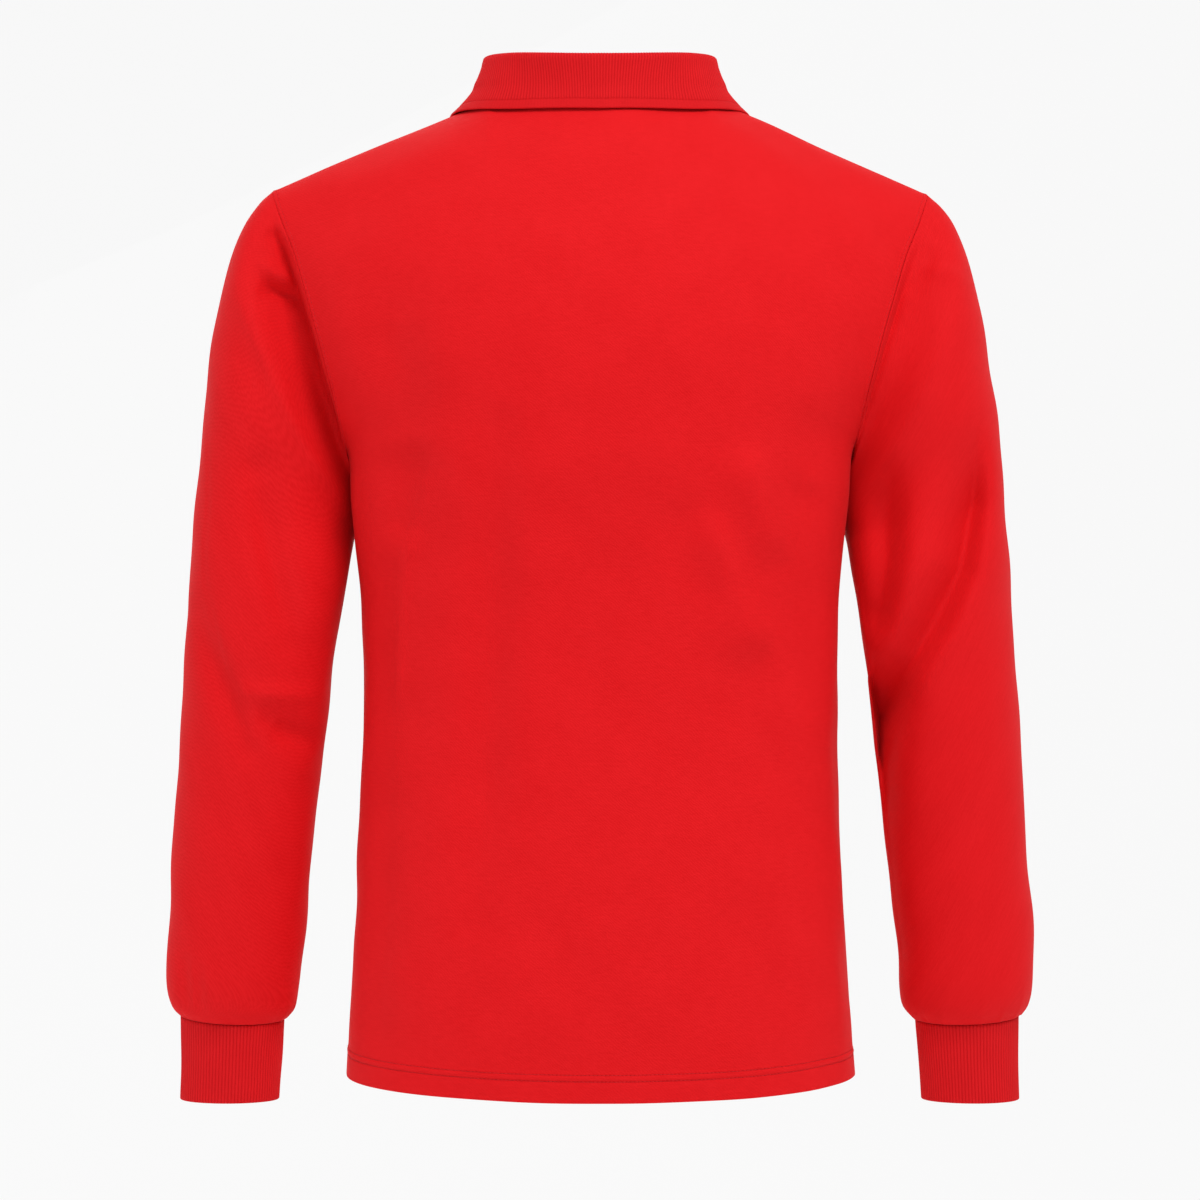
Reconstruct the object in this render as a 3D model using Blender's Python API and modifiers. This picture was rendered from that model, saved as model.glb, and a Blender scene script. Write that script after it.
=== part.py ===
"""Long-sleeve polo shirt, filled out as it is worn, with nobody in it.

Metres, +Z up, the shirt's front towards -Y, so +X is the wearer's left.
The origin lies between the two neck points, where the wearer's shoulders carry the shirt.
Each piece is what a maker cuts and sews on: two body panels, two sleeves, two ribbed cuffs,
a folded rib collar, the two bands of the placket and its buttons.
"""

import math

import bmesh
import bpy
import numpy as np
from mathutils import Vector
from mathutils.bvhtree import BVHTree

COLLECTION = "long_sleeve_polo_shirt"

# ---- driving dimensions -------------------------------------------------------------------
CLOTH = 0.0015  # body and sleeve knit, with its turned seams
RIB_CLOTH = 0.0016  # collar and cuff knit, below the ribs
SEAM_GAP = 0.0003  # between two pieces that are sewn to each other

HEM_HEIGHT = -0.7045
HEM_SIDE_RISE = 0.0055  # how much higher the hem is at the side seams
ARMPIT_HEIGHT = -0.262
TIP_HEIGHT = -0.068  # outer end of the shoulder seam
TIP_HALF_WIDTH = 0.236
LEFT_LIFT = 0.0025  # how much higher the left shoulder is than the right one
LIFT_REACH = 0.12  # from the neck point out to where it is raised in full
LIFT_RISE = 0.16  # and the same up from the armpit
NECK_HALF_WIDTH = 0.080  # from the middle to a neck point
BACK_NECK_DROP = 0.008
FRONT_NECK_DROP = 0.072
ROUNDNESS = 2.35  # exponent of the body's oval section: 2 is an ellipse

# How the cloth rolls over the shoulder, for the back and the front: the height that the roll
# takes, its exponent, and how high the roll's own ridge is at the middle, next to the seam and
# further down, where the ridge is one soft arch.
ROLL_COLUMNS = ("height", "exponent", "ridge", "arch")
ROLL = {
    "back": (0.200, 1.80, 0.018, 0.010),
    "front": (0.195, 1.65, -0.037, -0.024),
}
ARCH_DEPTH = 0.100  # below the top edge, where the soft arch has taken over

# One row for each level of the body. Widths are at the side seam, or at the armhole above it;
# depths run from the side seam's plane; edge_share is how deep the armhole's edge lies, as a
# share of the depth at the middle.
BODY_COLUMNS = ("height", "back_half_width", "front_half_width", "back_depth", "front_depth", "edge_share")
BODY_SECTIONS = (
    (-0.7045, 0.1820, 0.1820, 0.122, 0.119, 0.00),  # hem
    (-0.640, 0.1786, 0.1786, 0.124, 0.118, 0.00),
    (-0.560, 0.1737, 0.1737, 0.118, 0.118, 0.00),
    (-0.470, 0.1705, 0.1705, 0.110, 0.119, 0.00),  # waist
    (-0.400, 0.1702, 0.1702, 0.109, 0.121, 0.00),
    (-0.340, 0.1731, 0.1731, 0.114, 0.126, 0.00),
    (-0.290, 0.1785, 0.1785, 0.121, 0.131, 0.00),
    (-0.262, 0.1802, 0.1802, 0.125, 0.133, 0.00),  # armpit
    (-0.240, 0.1840, 0.1815, 0.127, 0.134, 0.26),
    (-0.215, 0.1890, 0.1840, 0.129, 0.134, 0.41),
    (-0.183, 0.1970, 0.1890, 0.130, 0.133, 0.50),
    (-0.148, 0.2070, 0.1980, 0.130, 0.131, 0.53),
    (-0.112, 0.2185, 0.2130, 0.130, 0.129, 0.53),
    (-0.092, 0.2270, 0.2245, 0.129, 0.128, 0.51),
    (-0.068, 0.2360, 0.2360, 0.128, 0.126, 0.50),  # end of the shoulder seam
)
BODY_ROWS = (
    -0.7045, -0.645, -0.585, -0.530, -0.475, -0.425, -0.378, -0.335, -0.296, -0.262,
    -0.251, -0.236, -0.216, -0.191, -0.165, -0.140, -0.117, -0.098, -0.083, -0.073, -0.068,
)
ARMPIT_ROW = BODY_ROWS.index(ARMPIT_HEIGHT)
FRONT_NECK_POWER = 1.15  # how sharply the front neckline dips at its middle
NECK_SPANS = 5  # columns from the placket's edge to a neck point
SHOULDER_SPANS = 9  # columns from a neck point to the armhole

# One row for each ring of a sleeve, from the armhole to the cuff. Outer is the side away from
# the body, inner the side next to it; half_depth and centre_y are front to back.
SLEEVE_COLUMNS = ("outer_x", "outer_z", "inner_x", "inner_z", "half_depth", "centre_y")
SLEEVE_RINGS = (
    (0.2360, -0.0680, 0.1802, -0.2620, 0.058, 0.000),  # the armhole
    (0.2450, -0.0765, 0.1812, -0.2645, 0.064, 0.001),
    (0.2545, -0.0895, 0.1818, -0.2672, 0.067, 0.002),
    (0.2630, -0.1085, 0.1822, -0.2702, 0.069, 0.002),
    (0.2700, -0.1340, 0.1824, -0.2738, 0.070, 0.002),
    (0.2765, -0.1670, 0.1824, -0.2785, 0.070, 0.002),
    (0.2820, -0.2060, 0.1808, -0.2850, 0.069, 0.002),
    (0.2870, -0.2480, 0.1791, -0.2950, 0.067, 0.002),
    (0.2911, -0.2900, 0.1787, -0.3110, 0.065, 0.001),
    (0.2944, -0.3350, 0.1822, -0.3420, 0.062, 0.000),
    (0.2980, -0.3850, 0.1893, -0.3870, 0.059, -0.002),  # elbow
    (0.3013, -0.4350, 0.1956, -0.4350, 0.056, -0.005),
    (0.3048, -0.4850, 0.2012, -0.4850, 0.053, -0.009),
    (0.3087, -0.5350, 0.2070, -0.5350, 0.050, -0.013),
    (0.3121, -0.5800, 0.2118, -0.5800, 0.047, -0.017),
    (0.3143, -0.6180, 0.2160, -0.6180, 0.0445, -0.020),
    (0.3140, -0.6400, 0.2182, -0.6400, 0.042, -0.022),
    (0.3106, -0.6540, 0.2208, -0.6540, 0.037, -0.023),
    (0.3048, -0.6620, 0.2285, -0.6620, 0.0290, -0.024),  # seam of the cuff
)
ARMHOLE_FADE = 6  # rings over which the armhole's own outline turns into an oval

# Low down the armhole a sleeve drops behind the body's edge.
HOLLOW_DEPTH = {1: 0.0230, -1: 0.0130}  # left and right, at the back
HOLLOW_FRONT = 0.40  # as a share of that at the front
HOLLOW_FULL = 0.014  # how far from the armhole it is at its deepest
HOLLOW_FADE = 0.016  # where it starts to rise again
HOLLOW_REACH = 0.050  # and how far it rises for
HOLLOW_HIGH = (0.06, 0.42)  # where it begins, from the shoulder down, and over what share it deepens
HOLLOW_LOW = 0.32  # share above the armpit in which it ends

# One row for each level of a cuff.
CUFF_COLUMNS = ("height", "centre_x", "centre_y", "half_width", "half_depth")
CUFF_LEVELS = (
    (-0.6620, 0.2670, -0.0240, 0.0377, 0.0285),
    (-0.6880, 0.2678, -0.0250, 0.0366, 0.0278),
    (-0.7220, 0.2692, -0.0265, 0.0357, 0.0272),
)
CUFF_RIBS = 94
RIB_HEIGHT = 0.0005
RIB_STEP = 4  # points of a ribbed face for each one of its plain inside

# The collar is one rib band, sewn round the neck, standing up, folded and falling outwards.
# One row for each share of the way from the middle of the back to the middle of the front:
# the stand's height, how far it leans to the neck for that, and the fall's edge before it is
# laid on the body.
COLLAR_COLUMNS = ("share", "stand", "lean", "edge_x", "edge_y", "edge_z")
COLLAR_SECTIONS = (
    (0.00, 0.0337, 0.00, 0.000, 0.0672, -0.0130),
    (0.18, 0.0335, 0.00, 0.042, 0.0575, -0.0108),
    (0.32, 0.0330, 0.00, 0.079, 0.0400, -0.0092),
    (0.43, 0.0315, 0.02, 0.101, 0.0150, -0.0062),
    (0.52, 0.0285, 0.04, 0.1105, -0.0100, -0.0107),
    (0.64, 0.0265, 0.12, 0.100, -0.0410, -0.0290),
    (0.80, 0.0245, 0.20, 0.078, -0.0660, -0.0600),
    (0.91, 0.0235, 0.24, 0.055, -0.0770, -0.0790),
    (1.00, 0.0230, 0.25, 0.034, -0.0840, -0.0920),
)
FOLD_RADIUS = 0.0034
FALL_BOW = -0.0025  # how far the fall bows out between the fold and its edge
FALL_CLEARANCE = 0.0046  # from the body to the fall's outer face
COLLAR_RIBS = 116  # each stands for two knitted ribs
COLLAR_SEAM_GAP = 0.00045  # above the neckline, which bends between its points
COLLAR_FRONT = 0.993  # share at which the collar's front edge lies
FOLD_STEPS = (0, 0.25, 0.5, 0.75, 1)
FALL_STEPS = (0.34, 0.68, 1)

# Placket: the front is cut out between its neckline and a row, the under band fills the cut
# and the upper band lies over it.
PLACKET_HALF_WIDTH = 0.015
PLACKET_OVERLAP = 0.002
PLACKET_ROW = 11  # row of the front panel at which the cut ends
PLACKET_FOOT = 0.5  # where the upper band ends, as a share of the way to that row from the last
BUTTON_RADIUS = 0.0055
BUTTON_THICKNESS = 0.0024
BUTTON_RIM = 0.0010
BUTTON_SIDES = 16
BUTTON_GAP = 0.0004  # behind a button, where its thread is
BUTTON_HEIGHTS = (-0.0945, -0.1505, -0.2065)

FOLD_FADE = 0.032  # from a panel's sides and top, over which its folds die out
ARMHOLE_FOLD_FADE = 3  # the same for a sleeve, in rings from its armhole
CUFF_FOLD_FADE = 2  # and in rings from its cuff
# Folds of the cloth, as they lie on the back (facing 1) or the front (facing -1). Each runs
# from one place to another; height is out from the cloth, and a trough's is negative.
FOLD_COLUMNS = ("facing", "from_x", "from_z", "to_x", "to_z", "half_width", "height")
FOLDS = (
    (1, 0.150, -0.160, 0.136, -0.256, 0.024, -0.0080),  # beside and under the left arm
    (1, 0.152, -0.256, 0.137, -0.306, 0.014, -0.0110),
    (1, 0.117, -0.250, 0.112, -0.350, 0.014, 0.0040),
    (1, 0.155, -0.320, 0.158, -0.660, 0.012, -0.0056),
    (1, 0.071, -0.240, 0.086, -0.580, 0.015, -0.0064),
    (1, 0.042, -0.280, 0.050, -0.520, 0.020, 0.0036),
    (1, -0.060, -0.260, -0.108, -0.480, 0.018, -0.0080),  # under the right arm
    (1, -0.079, -0.276, -0.128, -0.425, 0.012, 0.0085),
    (1, -0.138, -0.250, -0.166, -0.340, 0.008, -0.0056),
    (1, -0.108, -0.420, -0.148, -0.540, 0.015, -0.0050),
    (1, -0.105, -0.580, -0.150, -0.680, 0.018, -0.0044),
    (-1, 0.140, -0.240, 0.080, -0.330, 0.022, -0.0048),
    (-1, -0.138, -0.245, -0.085, -0.350, 0.020, -0.0050),
    (-1, 0.120, -0.300, 0.110, -0.520, 0.024, 0.0036),
    (-1, -0.100, -0.340, -0.112, -0.620, 0.026, 0.0036),
    (-1, 0.045, -0.450, 0.060, -0.670, 0.028, -0.0040),
    (1, 0.262, -0.160, 0.228, -0.225, 0.014, -0.0052),  # left sleeve
    (1, 0.242, -0.270, 0.216, -0.390, 0.013, -0.0092),
    (1, 0.288, -0.370, 0.250, -0.465, 0.010, -0.0072),
    (1, 0.232, -0.446, 0.198, -0.466, 0.010, -0.0100),  # left elbow
    (1, -0.276, -0.215, -0.262, -0.300, 0.011, -0.0110),  # right sleeve
    (1, -0.265, -0.285, -0.246, -0.360, 0.013, -0.0160),
    (1, -0.250, -0.350, -0.206, -0.425, 0.016, -0.0190),
    (1, -0.208, -0.262, -0.196, -0.345, 0.012, -0.0090),
    (1, -0.206, -0.430, -0.222, -0.650, 0.019, -0.0190),
    (1, -0.252, -0.430, -0.254, -0.600, 0.014, 0.0044),
    (-1, 0.276, -0.330, 0.214, -0.420, 0.018, -0.0070),
    (-1, -0.278, -0.340, -0.212, -0.410, 0.018, -0.0070),
    (-1, -0.290, -0.440, -0.236, -0.520, 0.018, -0.0056),
)

RED = (0.78, 0.012, 0.018, 1.0)
BUTTON_RED = (0.62, 0.010, 0.015, 1.0)


# ---- curves and grids -----------------------------------------------------------------------
def columns_of(names, rows):
    """A table's columns by name."""
    return {name: np.array(values) for name, values in zip(names, zip(*rows))}


BODY = columns_of(BODY_COLUMNS, BODY_SECTIONS)
SLEEVE = columns_of(SLEEVE_COLUMNS, SLEEVE_RINGS)
CUFF = columns_of(CUFF_COLUMNS, CUFF_LEVELS)
COLLAR = columns_of(COLLAR_COLUMNS, COLLAR_SECTIONS)


def smooth(knots, values, at):
    """The value at each place on a smooth curve through a table's rows."""
    slopes = np.gradient(values, knots)
    at = np.clip(at, knots[0], knots[-1])
    i = np.clip(np.searchsorted(knots, at) - 1, 0, len(knots) - 2)
    width = knots[i + 1] - knots[i]
    t = (at - knots[i]) / width
    start = (1 + 2 * t) * (1 - t) ** 2 * values[i] + t * (1 - t) ** 2 * width * slopes[i]
    end = t * t * (3 - 2 * t) * values[i + 1] + t * t * (t - 1) * width * slopes[i + 1]
    return start + end


def ease(values):
    """0 to 1 with soft ends."""
    values = np.clip(values, 0, 1)
    return values * values * (3 - 2 * values)


def unit(vectors):
    return vectors / np.maximum(np.linalg.norm(vectors, axis=-1, keepdims=True), 1e-12)


def grid_normals(points, facing, closed=False):
    """The unit normal at each point of a grid. Facing is 1 or -1, for the side it is on."""
    if closed:
        across = np.roll(points, -1, 1) - np.roll(points, 1, 1)
    else:
        across = np.gradient(points, axis=1)
    return unit(np.cross(across, np.gradient(points, axis=0))) * facing


def fold_heights(points, normals):
    """How far the folds lift or sink each point."""
    heights = np.zeros(points.shape[:-1])
    for row in FOLDS:
        fold = dict(zip(FOLD_COLUMNS, row))
        start = np.array((fold["from_x"], fold["from_z"]))
        line = np.array((fold["to_x"], fold["to_z"])) - start
        offset = points[..., (0, 2)] - start
        along = np.clip(offset @ line / (line @ line), 0, 1)
        away = np.linalg.norm(offset - along[..., None] * line, axis=-1)
        ends = np.sin(math.pi * np.clip(along, 0.08, 0.92)) ** 0.5
        seen = np.clip(normals[..., 1] * fold["facing"], 0, 1)
        heights += fold["height"] * ends * seen * np.exp(-((away / fold["half_width"]) ** 2))
    return heights


def pull_back(line, neighbours):
    """Moves an edge's points half a seam's gap back into their own piece."""
    line += unit(neighbours - line) * SEAM_GAP / 2


def shared_ways(first, second):
    """Two pieces' directions through the wall at their seam, made one where they nearly agree,
    so that the gap between the two walls stays even."""
    agree = np.clip(2 * (first * second).sum(-1, keepdims=True), 0, 1)
    return unit(first + agree * second), unit(second + agree * first)


def cloth_wall(name, outer, inner, colour, closed=False, cut=()):
    """A closed wall between two grids of points. The outer one may have several columns for
    each of the inner one's, as ribs need. Cut names the cells that are left out."""
    spans = inner.shape[1] if closed else inner.shape[1] - 1
    finer = outer.shape[1] // spans
    cells = {(row, i) for row in range(len(outer) - 1) for i in range(spans)} - set(cut)
    bm = bmesh.new()
    out = [[bm.verts.new(point) for point in row] for row in outer]
    back = [[bm.verts.new(point) for point in row] for row in inner]
    out_count, back_count = outer.shape[1], inner.shape[1]

    def out_line(row, i):
        return [out[row][(i * finer + k) % out_count] for k in range(finer + 1)]

    def back_line(row, i):
        return [back[row][i], back[row][(i + 1) % back_count]]

    for row, i in sorted(cells):
        low, high = out_line(row, i), out_line(row + 1, i)
        back_low, back_high = back_line(row, i), back_line(row + 1, i)
        for k in range(finer):
            bm.faces.new((low[k], low[k + 1], high[k + 1], high[k]))
        bm.faces.new((*back_low, *back_high[::-1]))
        if (row - 1, i) not in cells:
            bm.faces.new((*low, *back_low[::-1]))
        if (row + 1, i) not in cells:
            bm.faces.new((*high, *back_high[::-1]))
        for end, step in ((0, -1), (-1, 1)):
            beside = (i + step) % spans if closed else i + step
            if (row, beside) not in cells:
                bm.faces.new((low[end], high[end], back_high[end], back_low[end]))
    bmesh.ops.delete(bm, geom=[v for v in bm.verts if not v.link_faces], context="VERTS")
    bmesh.ops.recalc_face_normals(bm, faces=bm.faces)
    return mesh_object(name, bm, colour)


def mesh_object(name, bm, colour):
    mesh = bpy.data.meshes.new(name)
    bm.to_mesh(mesh)
    bm.free()
    mesh.shade_smooth()
    mesh.set_sharp_from_angle(angle=math.radians(50))
    part = bpy.data.objects.new(name, mesh)
    bpy.data.collections[COLLECTION].objects.link(part)
    part.data.materials.append(finish(name, colour))
    return part


def finish(name, colour):
    material = bpy.data.materials.new(name)
    material.use_nodes = True
    shader = material.node_tree.nodes["Principled BSDF"]
    shader.inputs["Base Color"].default_value = colour
    shader.inputs["Roughness"].default_value = 0.45 if "button" in name else 0.85
    shader.inputs["Metallic"].default_value = 0.0
    return material


# ---- body panels ----------------------------------------------------------------------------
def shoulder_reaches():
    """Where each column of a panel meets its top edge, as a distance from the middle."""
    start = math.asin(PLACKET_HALF_WIDTH / NECK_HALF_WIDTH)
    neck = NECK_HALF_WIDTH * np.sin(np.linspace(start, math.pi / 2, NECK_SPANS + 1)[1:])
    turn = np.linspace(0, math.pi, SHOULDER_SPANS + 1)[1:]
    share = (np.sin(turn / 2) + (1 - np.cos(turn)) / 2) / 2
    shoulder = NECK_HALF_WIDTH + (TIP_HALF_WIDTH - NECK_HALF_WIDTH) * share
    half = np.concatenate(((PLACKET_HALF_WIDTH,), neck, shoulder))
    return np.concatenate((-half[::-1], (0.0,), half))


def top_edge(panel, reach):
    """Height of a panel's top edge: the neckline, and the shoulder seam outside it."""
    slope = TIP_HEIGHT / (TIP_HALF_WIDTH - NECK_HALF_WIDTH)
    shoulder = (reach - NECK_HALF_WIDTH) * slope
    share = np.clip(reach / NECK_HALF_WIDTH, 0, 1)
    if panel == "back":
        neckline = -BACK_NECK_DROP * (1 - share**2)
    else:
        neckline = -FRONT_NECK_DROP * (1 - share**2) ** FRONT_NECK_POWER
    return np.where(reach < NECK_HALF_WIDTH, neckline, shoulder)


def panel_points(panel):
    """A body panel's outer face: a grid of rows from the hem up, and columns across."""
    side = 1 if panel == "back" else -1
    roll = dict(zip(ROLL_COLUMNS, ROLL[panel]))
    across = shoulder_reaches()
    reach = np.abs(across)[None, :]
    edge_z = np.array(BODY_ROWS)[:, None]
    half_width = smooth(BODY["height"], BODY[panel + "_half_width"], edge_z)
    edge_share = np.clip(smooth(BODY["height"], BODY["edge_share"], edge_z), 0, 1)
    edge_share[: ARMPIT_ROW + 1] = 0

    top = top_edge(panel, reach)
    hem = HEM_HEIGHT + HEM_SIDE_RISE * (reach / TIP_HALF_WIDTH) ** 2
    z = hem + (top - hem) * (edge_z - HEM_HEIGHT) / (TIP_HEIGHT - HEM_HEIGHT)
    outside = (reach - PLACKET_HALF_WIDTH) / (TIP_HALF_WIDTH - PLACKET_HALF_WIDTH)
    x = np.where(outside > 0, PLACKET_HALF_WIDTH + (half_width - PLACKET_HALF_WIDTH) * outside, reach)
    x = np.broadcast_to(x, z.shape)

    full_width = half_width / (1 - edge_share**ROUNDNESS) ** (1 / ROUNDNESS)
    oval = np.clip(1 - (x / full_width) ** ROUNDNESS, 0, 1) ** (1 / ROUNDNESS)
    middle_rise = roll["ridge"] * np.clip(1 - (reach / NECK_HALF_WIDTH) ** 2, 0, 1) ** 1.5
    ridge = np.where(reach < NECK_HALF_WIDTH, middle_rise, top)
    arch = roll["arch"] + (TIP_HEIGHT - roll["arch"]) * (reach / TIP_HALF_WIDTH) ** 2
    ridge = ridge + (arch - ridge) * ease((top - z) / ARCH_DEPTH)
    below = np.clip((ridge - z) / roll["height"], 0, 1)
    rolled = (1 - (1 - below) ** roll["exponent"]) ** (1 / roll["exponent"])
    y = side * smooth(BODY["height"], BODY[panel + "_depth"], z) * oval * rolled
    points = np.stack((np.sign(across)[None, :] * x, y, z), axis=-1)
    raised = ease((points[..., 0] - NECK_HALF_WIDTH) / LIFT_REACH)
    points[..., 2] += LEFT_LIFT * raised * ease((z - ARMPIT_HEIGHT) / LIFT_RISE)

    normals = grid_normals(points, -side)
    lift = fold_heights(points, normals)
    lift *= np.clip((TIP_HALF_WIDTH - reach) / FOLD_FADE, 0, 1)
    lift *= np.clip((top - z) / FOLD_FADE, 0, 1)
    return points + normals * lift[..., None]


# ---- sleeves and cuffs ----------------------------------------------------------------------
def armhole_loop(back, front, side):
    """The armhole's points from the shoulder, down the back and up the front, with the panels'
    normals there. Side is 1 on the wearer's left."""
    edge = -1 if side > 0 else 0
    down = back[ARMPIT_ROW:, edge][::-1]
    up = front[ARMPIT_ROW:, edge][1:-1]
    return np.concatenate((down, up))


def sleeve_points(loop, side):
    """A sleeve's outer face: rings from the armhole to the cuff's seam."""
    steps = np.linalg.norm(np.diff(loop, axis=0, append=loop[:1]), axis=1)
    travelled = np.concatenate(((0,), np.cumsum(steps)))
    bottom = len(loop) // 2
    shares = np.where(
        np.arange(len(loop)) <= bottom,
        travelled[:-1] / travelled[bottom] / 2,
        0.5 + (travelled[:-1] - travelled[bottom]) / (travelled[-1] - travelled[bottom]) / 2,
    )
    angle = 2 * math.pi * shares[None, :, None]
    outer = np.stack((side * SLEEVE["outer_x"], SLEEVE["centre_y"], SLEEVE["outer_z"]), -1)[:, None]
    inner = np.stack((side * SLEEVE["inner_x"], SLEEVE["centre_y"], SLEEVE["inner_z"]), -1)[:, None]
    depth = SLEEVE["half_depth"][:, None, None] * np.array((0, 1, 0))
    rings = (outer + inner) / 2 + (outer - inner) / 2 * np.cos(angle) + depth * np.sin(angle)
    fade = np.clip(1 - np.arange(len(rings)) / ARMHOLE_FADE, 0, 1)[:, None, None] ** 2
    rings = rings + (loop - rings[0]) * fade

    normals = grid_normals(rings, -side, closed=True)
    lift = fold_heights(rings, normals)
    number = np.arange(len(rings))[:, None]
    lift *= np.clip(number / ARMHOLE_FOLD_FADE, 0, 1)
    lift *= np.clip((len(rings) - 1 - number) / CUFF_FOLD_FADE, 0, 1)
    points = rings + normals * lift[..., None]
    points[..., 1] += armhole_hollow(rings, shares, side)
    return points


def armhole_hollow(rings, shares, side):
    """How far a sleeve's points are moved in where it drops behind the body's edge."""
    steps = np.linalg.norm(np.diff(rings, axis=0), axis=-1)
    away = np.concatenate((np.zeros_like(steps[:1]), np.cumsum(steps, axis=0)))
    low = 1 - np.abs(1 - 2 * shares)
    amount = ease((low - HOLLOW_HIGH[0]) / HOLLOW_HIGH[1]) * ease((1 - low) / HOLLOW_LOW)
    drop = ease(away / HOLLOW_FULL) * (1 - ease((away - HOLLOW_FADE) / HOLLOW_REACH))
    way = np.where(shares < 0.5, -1, HOLLOW_FRONT)
    return HOLLOW_DEPTH[side] * amount * drop * way


def make_cuff(name, side):
    """A ribbed tube below the sleeve: ribs outside, plain inside."""
    columns = 2 * CUFF_RIBS
    angle = (np.arange(columns) / columns * 2 * math.pi)[None, :]
    centre = np.stack((side * CUFF["centre_x"], CUFF["centre_y"], CUFF["height"]), -1)[:, None]
    centre[0, 0, 2] -= SEAM_GAP
    reach = np.stack((np.cos(angle), np.sin(angle), 0 * angle), -1)
    sizes = np.stack((CUFF["half_width"], CUFF["half_depth"], 0 * CUFF["height"]), -1)[:, None]
    face = centre + reach * sizes
    normals = unit(reach / np.where(sizes > 0, sizes, 1))
    rib = np.where(np.arange(columns) % 2, -1, 0)[None, :, None] * RIB_HEIGHT
    inner = (face - normals * (RIB_CLOTH + RIB_HEIGHT))[:, ::RIB_STEP]
    return cloth_wall(name, face + normals * rib, inner, RED, closed=True)


# ---- collar ---------------------------------------------------------------------------------
def neck_loop(back, front):
    """The neckline from the middle of the back to the middle of the front, on the left."""
    middle = back.shape[1] // 2
    neck = middle + 1 + NECK_SPANS
    return np.concatenate((back[-1, middle : neck + 1], front[-1, middle:neck][::-1]))


def along(line, share, curved=False):
    """Points at shares of a line's length, on its straight spans or on a curve through them."""
    travelled = np.concatenate(((0,), np.cumsum(np.linalg.norm(np.diff(line, axis=0), axis=1))))
    place = np.clip(share, 0, 1) * travelled[-1]
    between = smooth if curved else lambda knots, values, at: np.interp(at, knots, values)
    return np.stack([between(travelled, line[:, axis], place) for axis in range(3)], -1)


def half_collar(shares, neck, body):
    """The shown and hidden faces of the collar at shares of the neck, on the left. The shown
    one rises at the neck, goes over the fold and falls outside."""
    at = {name: smooth(COLLAR["share"], COLLAR[name], shares)[:, None] for name in COLLAR_COLUMNS}
    run = along(neck, shares + 0.01, curved=True) - along(neck, shares - 0.01, curved=True)
    out = unit(np.stack((-run[:, 1], run[:, 0], 0 * run[:, 0]), -1))
    up = unit(np.array((0, 0, 1)) - out * at["lean"])

    hidden = [along(neck, shares) + up * COLLAR_SEAM_GAP]
    shown = [hidden[0] - out * RIB_CLOTH]
    stand_top = along(neck, shares, curved=True) - out * RIB_CLOTH + up * (at["stand"] - FOLD_RADIUS)
    edge = np.concatenate((at["edge_x"], at["edge_y"], at["edge_z"]), axis=1)
    edge = laid_on(body, edge, FALL_CLEARANCE)
    centre = stand_top + out * FOLD_RADIUS
    fall = edge - centre
    last = np.arctan2((fall * out).sum(-1, keepdims=True), -(fall * up).sum(-1, keepdims=True))

    for part in FOLD_STEPS:
        turn = math.pi + (last - math.pi) * part
        ray = out * np.cos(turn) + up * np.sin(turn)
        shown.append(centre + ray * FOLD_RADIUS)
        hidden.append(centre + ray * (FOLD_RADIUS - RIB_CLOTH))
    over = shown[-1]
    for part in FALL_STEPS:
        place = over + (edge - over) * part + ray * FALL_BOW * math.sin(math.pi * part)
        place = laid_on(body, place, FALL_CLEARANCE, only_if_close=True)
        shown.append(place)
        hidden.append(place - ray * RIB_CLOTH)
    return np.array(shown), np.array(hidden)


def laid_on(body, points, clearance, only_if_close=False):
    """Points moved to a clearance from the body, or only those that lie closer."""
    placed = []
    for point in points:
        found, normal, _, _ = body.find_nearest(Vector(point))
        close = (Vector(point) - found).dot(normal) < clearance or not only_if_close
        placed.append(np.array(found + normal * clearance) if close else point)
    return np.array(placed)


def body_tree(back, front):
    """The body panels' outer faces, to lay the collar on."""
    points, faces = [], []
    for panel, side in ((back, 1), (front, -1)):
        panel.data.calc_loop_triangles()
        start = len(points)
        points.extend(vertex.co for vertex in panel.data.vertices)
        shown = [tri.vertices for tri in panel.data.loop_triangles if tri.normal.y * side > 0]
        faces.extend(tuple(start + i for i in tri) for tri in shown)
    return BVHTree.FromPolygons(points, faces)


def make_collar(neck, body):
    shares = np.linspace(-COLLAR_FRONT, COLLAR_FRONT, 2 * COLLAR_RIBS + 1)
    shown, hidden = half_collar(np.abs(shares), neck, body)
    mirror = np.stack((np.where(shares < 0, -1, 1), 1 + 0 * shares, 1 + 0 * shares), -1)
    shown, hidden = shown * mirror, hidden * mirror
    rib = np.where(np.arange(len(shares)) % 2, 0, 1)[None, :, None] * RIB_HEIGHT
    raised = np.arange(len(shown))[:, None, None] > 1
    ribbed = shown + unit(shown - hidden) * rib * raised
    return cloth_wall("collar", ribbed, hidden[:, ::RIB_STEP], RED)


# ---- placket and buttons --------------------------------------------------------------------
def band_points(grid, front, first_row):
    """A grid's own points on the front panel, as wide as the placket's upper band."""
    middle = front.shape[1] // 2
    rows, shape = grid[first_row:], front[first_row:]
    span = shape[:, middle + 2, 0] - shape[:, middle + 1, 0]
    share = (PLACKET_OVERLAP / span)[:, None]
    inside = [rows[:, middle + i] for i in (-1, 0, 1)]
    right = inside[0] + (rows[:, middle - 2] - inside[0]) * share
    left = inside[2] + (rows[:, middle + 2] - inside[2]) * share
    return np.stack((right, *inside, left), axis=1)


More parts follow.
